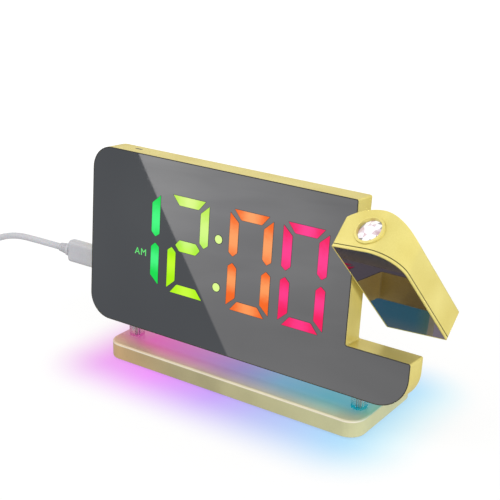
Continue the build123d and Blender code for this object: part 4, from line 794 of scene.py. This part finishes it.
# which of them a ray meets: the lit desk for the camera and clear parts, the painted reflection for mirrors
bounce = addNode(tree, "ShaderNodeBsdfDiffuse", {"Color": hexColor(floorLook["bounce"])})
rays = addNode(tree, "ShaderNodeLightPath")
direct = addNode(tree, "ShaderNodeMath", {"operation": "MAXIMUM"},
                 {0: rays.outputs["Is Camera Ray"], 1: rays.outputs["Is Transmission Ray"]})
seenPlainly = addNode(tree, "ShaderNodeMixShader", links={0: direct.outputs[0], 1: bounce.outputs[0],
                                                          2: desk.outputs[0]})
floorShader = addNode(tree, "ShaderNodeMixShader", links={0: rays.outputs["Is Glossy Ray"],
                                                          1: seenPlainly.outputs[0],
                                                          2: seenInMirror.outputs[0]})
addNode(tree, "ShaderNodeOutputMaterial", links={"Surface": floorShader.outputs[0]})
bm = bmesh.new()
bmesh.ops.create_grid(bm, x_segments=1, y_segments=1, size=floorLook["size"] / 2)
floor = newPiece("floor", bm, [floorMaterial], body=None)

# studio: white where it is seen, softer where it lights
worldLook = {"seen": 1.0, "light": 0.68}
world = bpy.data.worlds.new("studio")
bpy.context.scene.world = world
world.use_nodes = True
tree = world.node_tree
tree.nodes.clear()
rays = addNode(tree, "ShaderNodeLightPath")
seen = addNode(tree, "ShaderNodeMath", {"operation": "MAXIMUM"},
               {0: rays.outputs["Is Camera Ray"], 1: rays.outputs["Is Glossy Ray"]})
seenClear = addNode(tree, "ShaderNodeMath", {"operation": "MAXIMUM"},
                    {0: seen.outputs[0], 1: rays.outputs["Is Transmission Ray"]})
backdrop = addNode(tree, "ShaderNodeBackground", {"Color": (1, 1, 1, 1), "Strength": worldLook["seen"]})
softLight = addNode(tree, "ShaderNodeBackground", {"Color": (1, 1, 1, 1), "Strength": worldLook["light"]})
worldShader = addNode(tree, "ShaderNodeMixShader", links={0: seenClear.outputs[0], 1: softLight.outputs[0],
                                                          2: backdrop.outputs[0]})
addNode(tree, "ShaderNodeOutputWorld", links={"Surface": worldShader.outputs[0]})


def addLight(name, look):
    # a soft square lamp, aimed at the clock
    lamp = bpy.data.lights.new(name, "AREA")
    lamp.energy, lamp.size = look["watts"], look["size"]
    lamp.color = hexColor(look["color"])[:3]
    light = bpy.data.objects.new(name, lamp)
    light.location = look["place"]
    towards = Vector(look["aim"]) - Vector(look["place"])
    light.rotation_euler = towards.to_track_quat("-Z", "Y").to_euler()
    light.visible_glossy = look.get("glossy", False)
    bpy.context.scene.collection.objects.link(light)


addLight("keyLamp", {"watts": 4.8, "size": 1.1, "color": "#fffdf6", "place": (-0.75, -0.7, 1.15),
                     "aim": (0, 0, 0.05), "glossy": True})
addLight("fillLamp", {"watts": 2.8, "size": 1.5, "color": "#fbfcff", "place": (1.2, -0.55, 0.75),
                      "aim": (0, 0, 0.05)})
addLight("lowLamp", {"watts": 5, "size": 0.22, "color": "#fffef8", "place": (1.2, -0.25, 0.12),
                     "aim": (0.06, 0, 0.05)})
print("stage set")
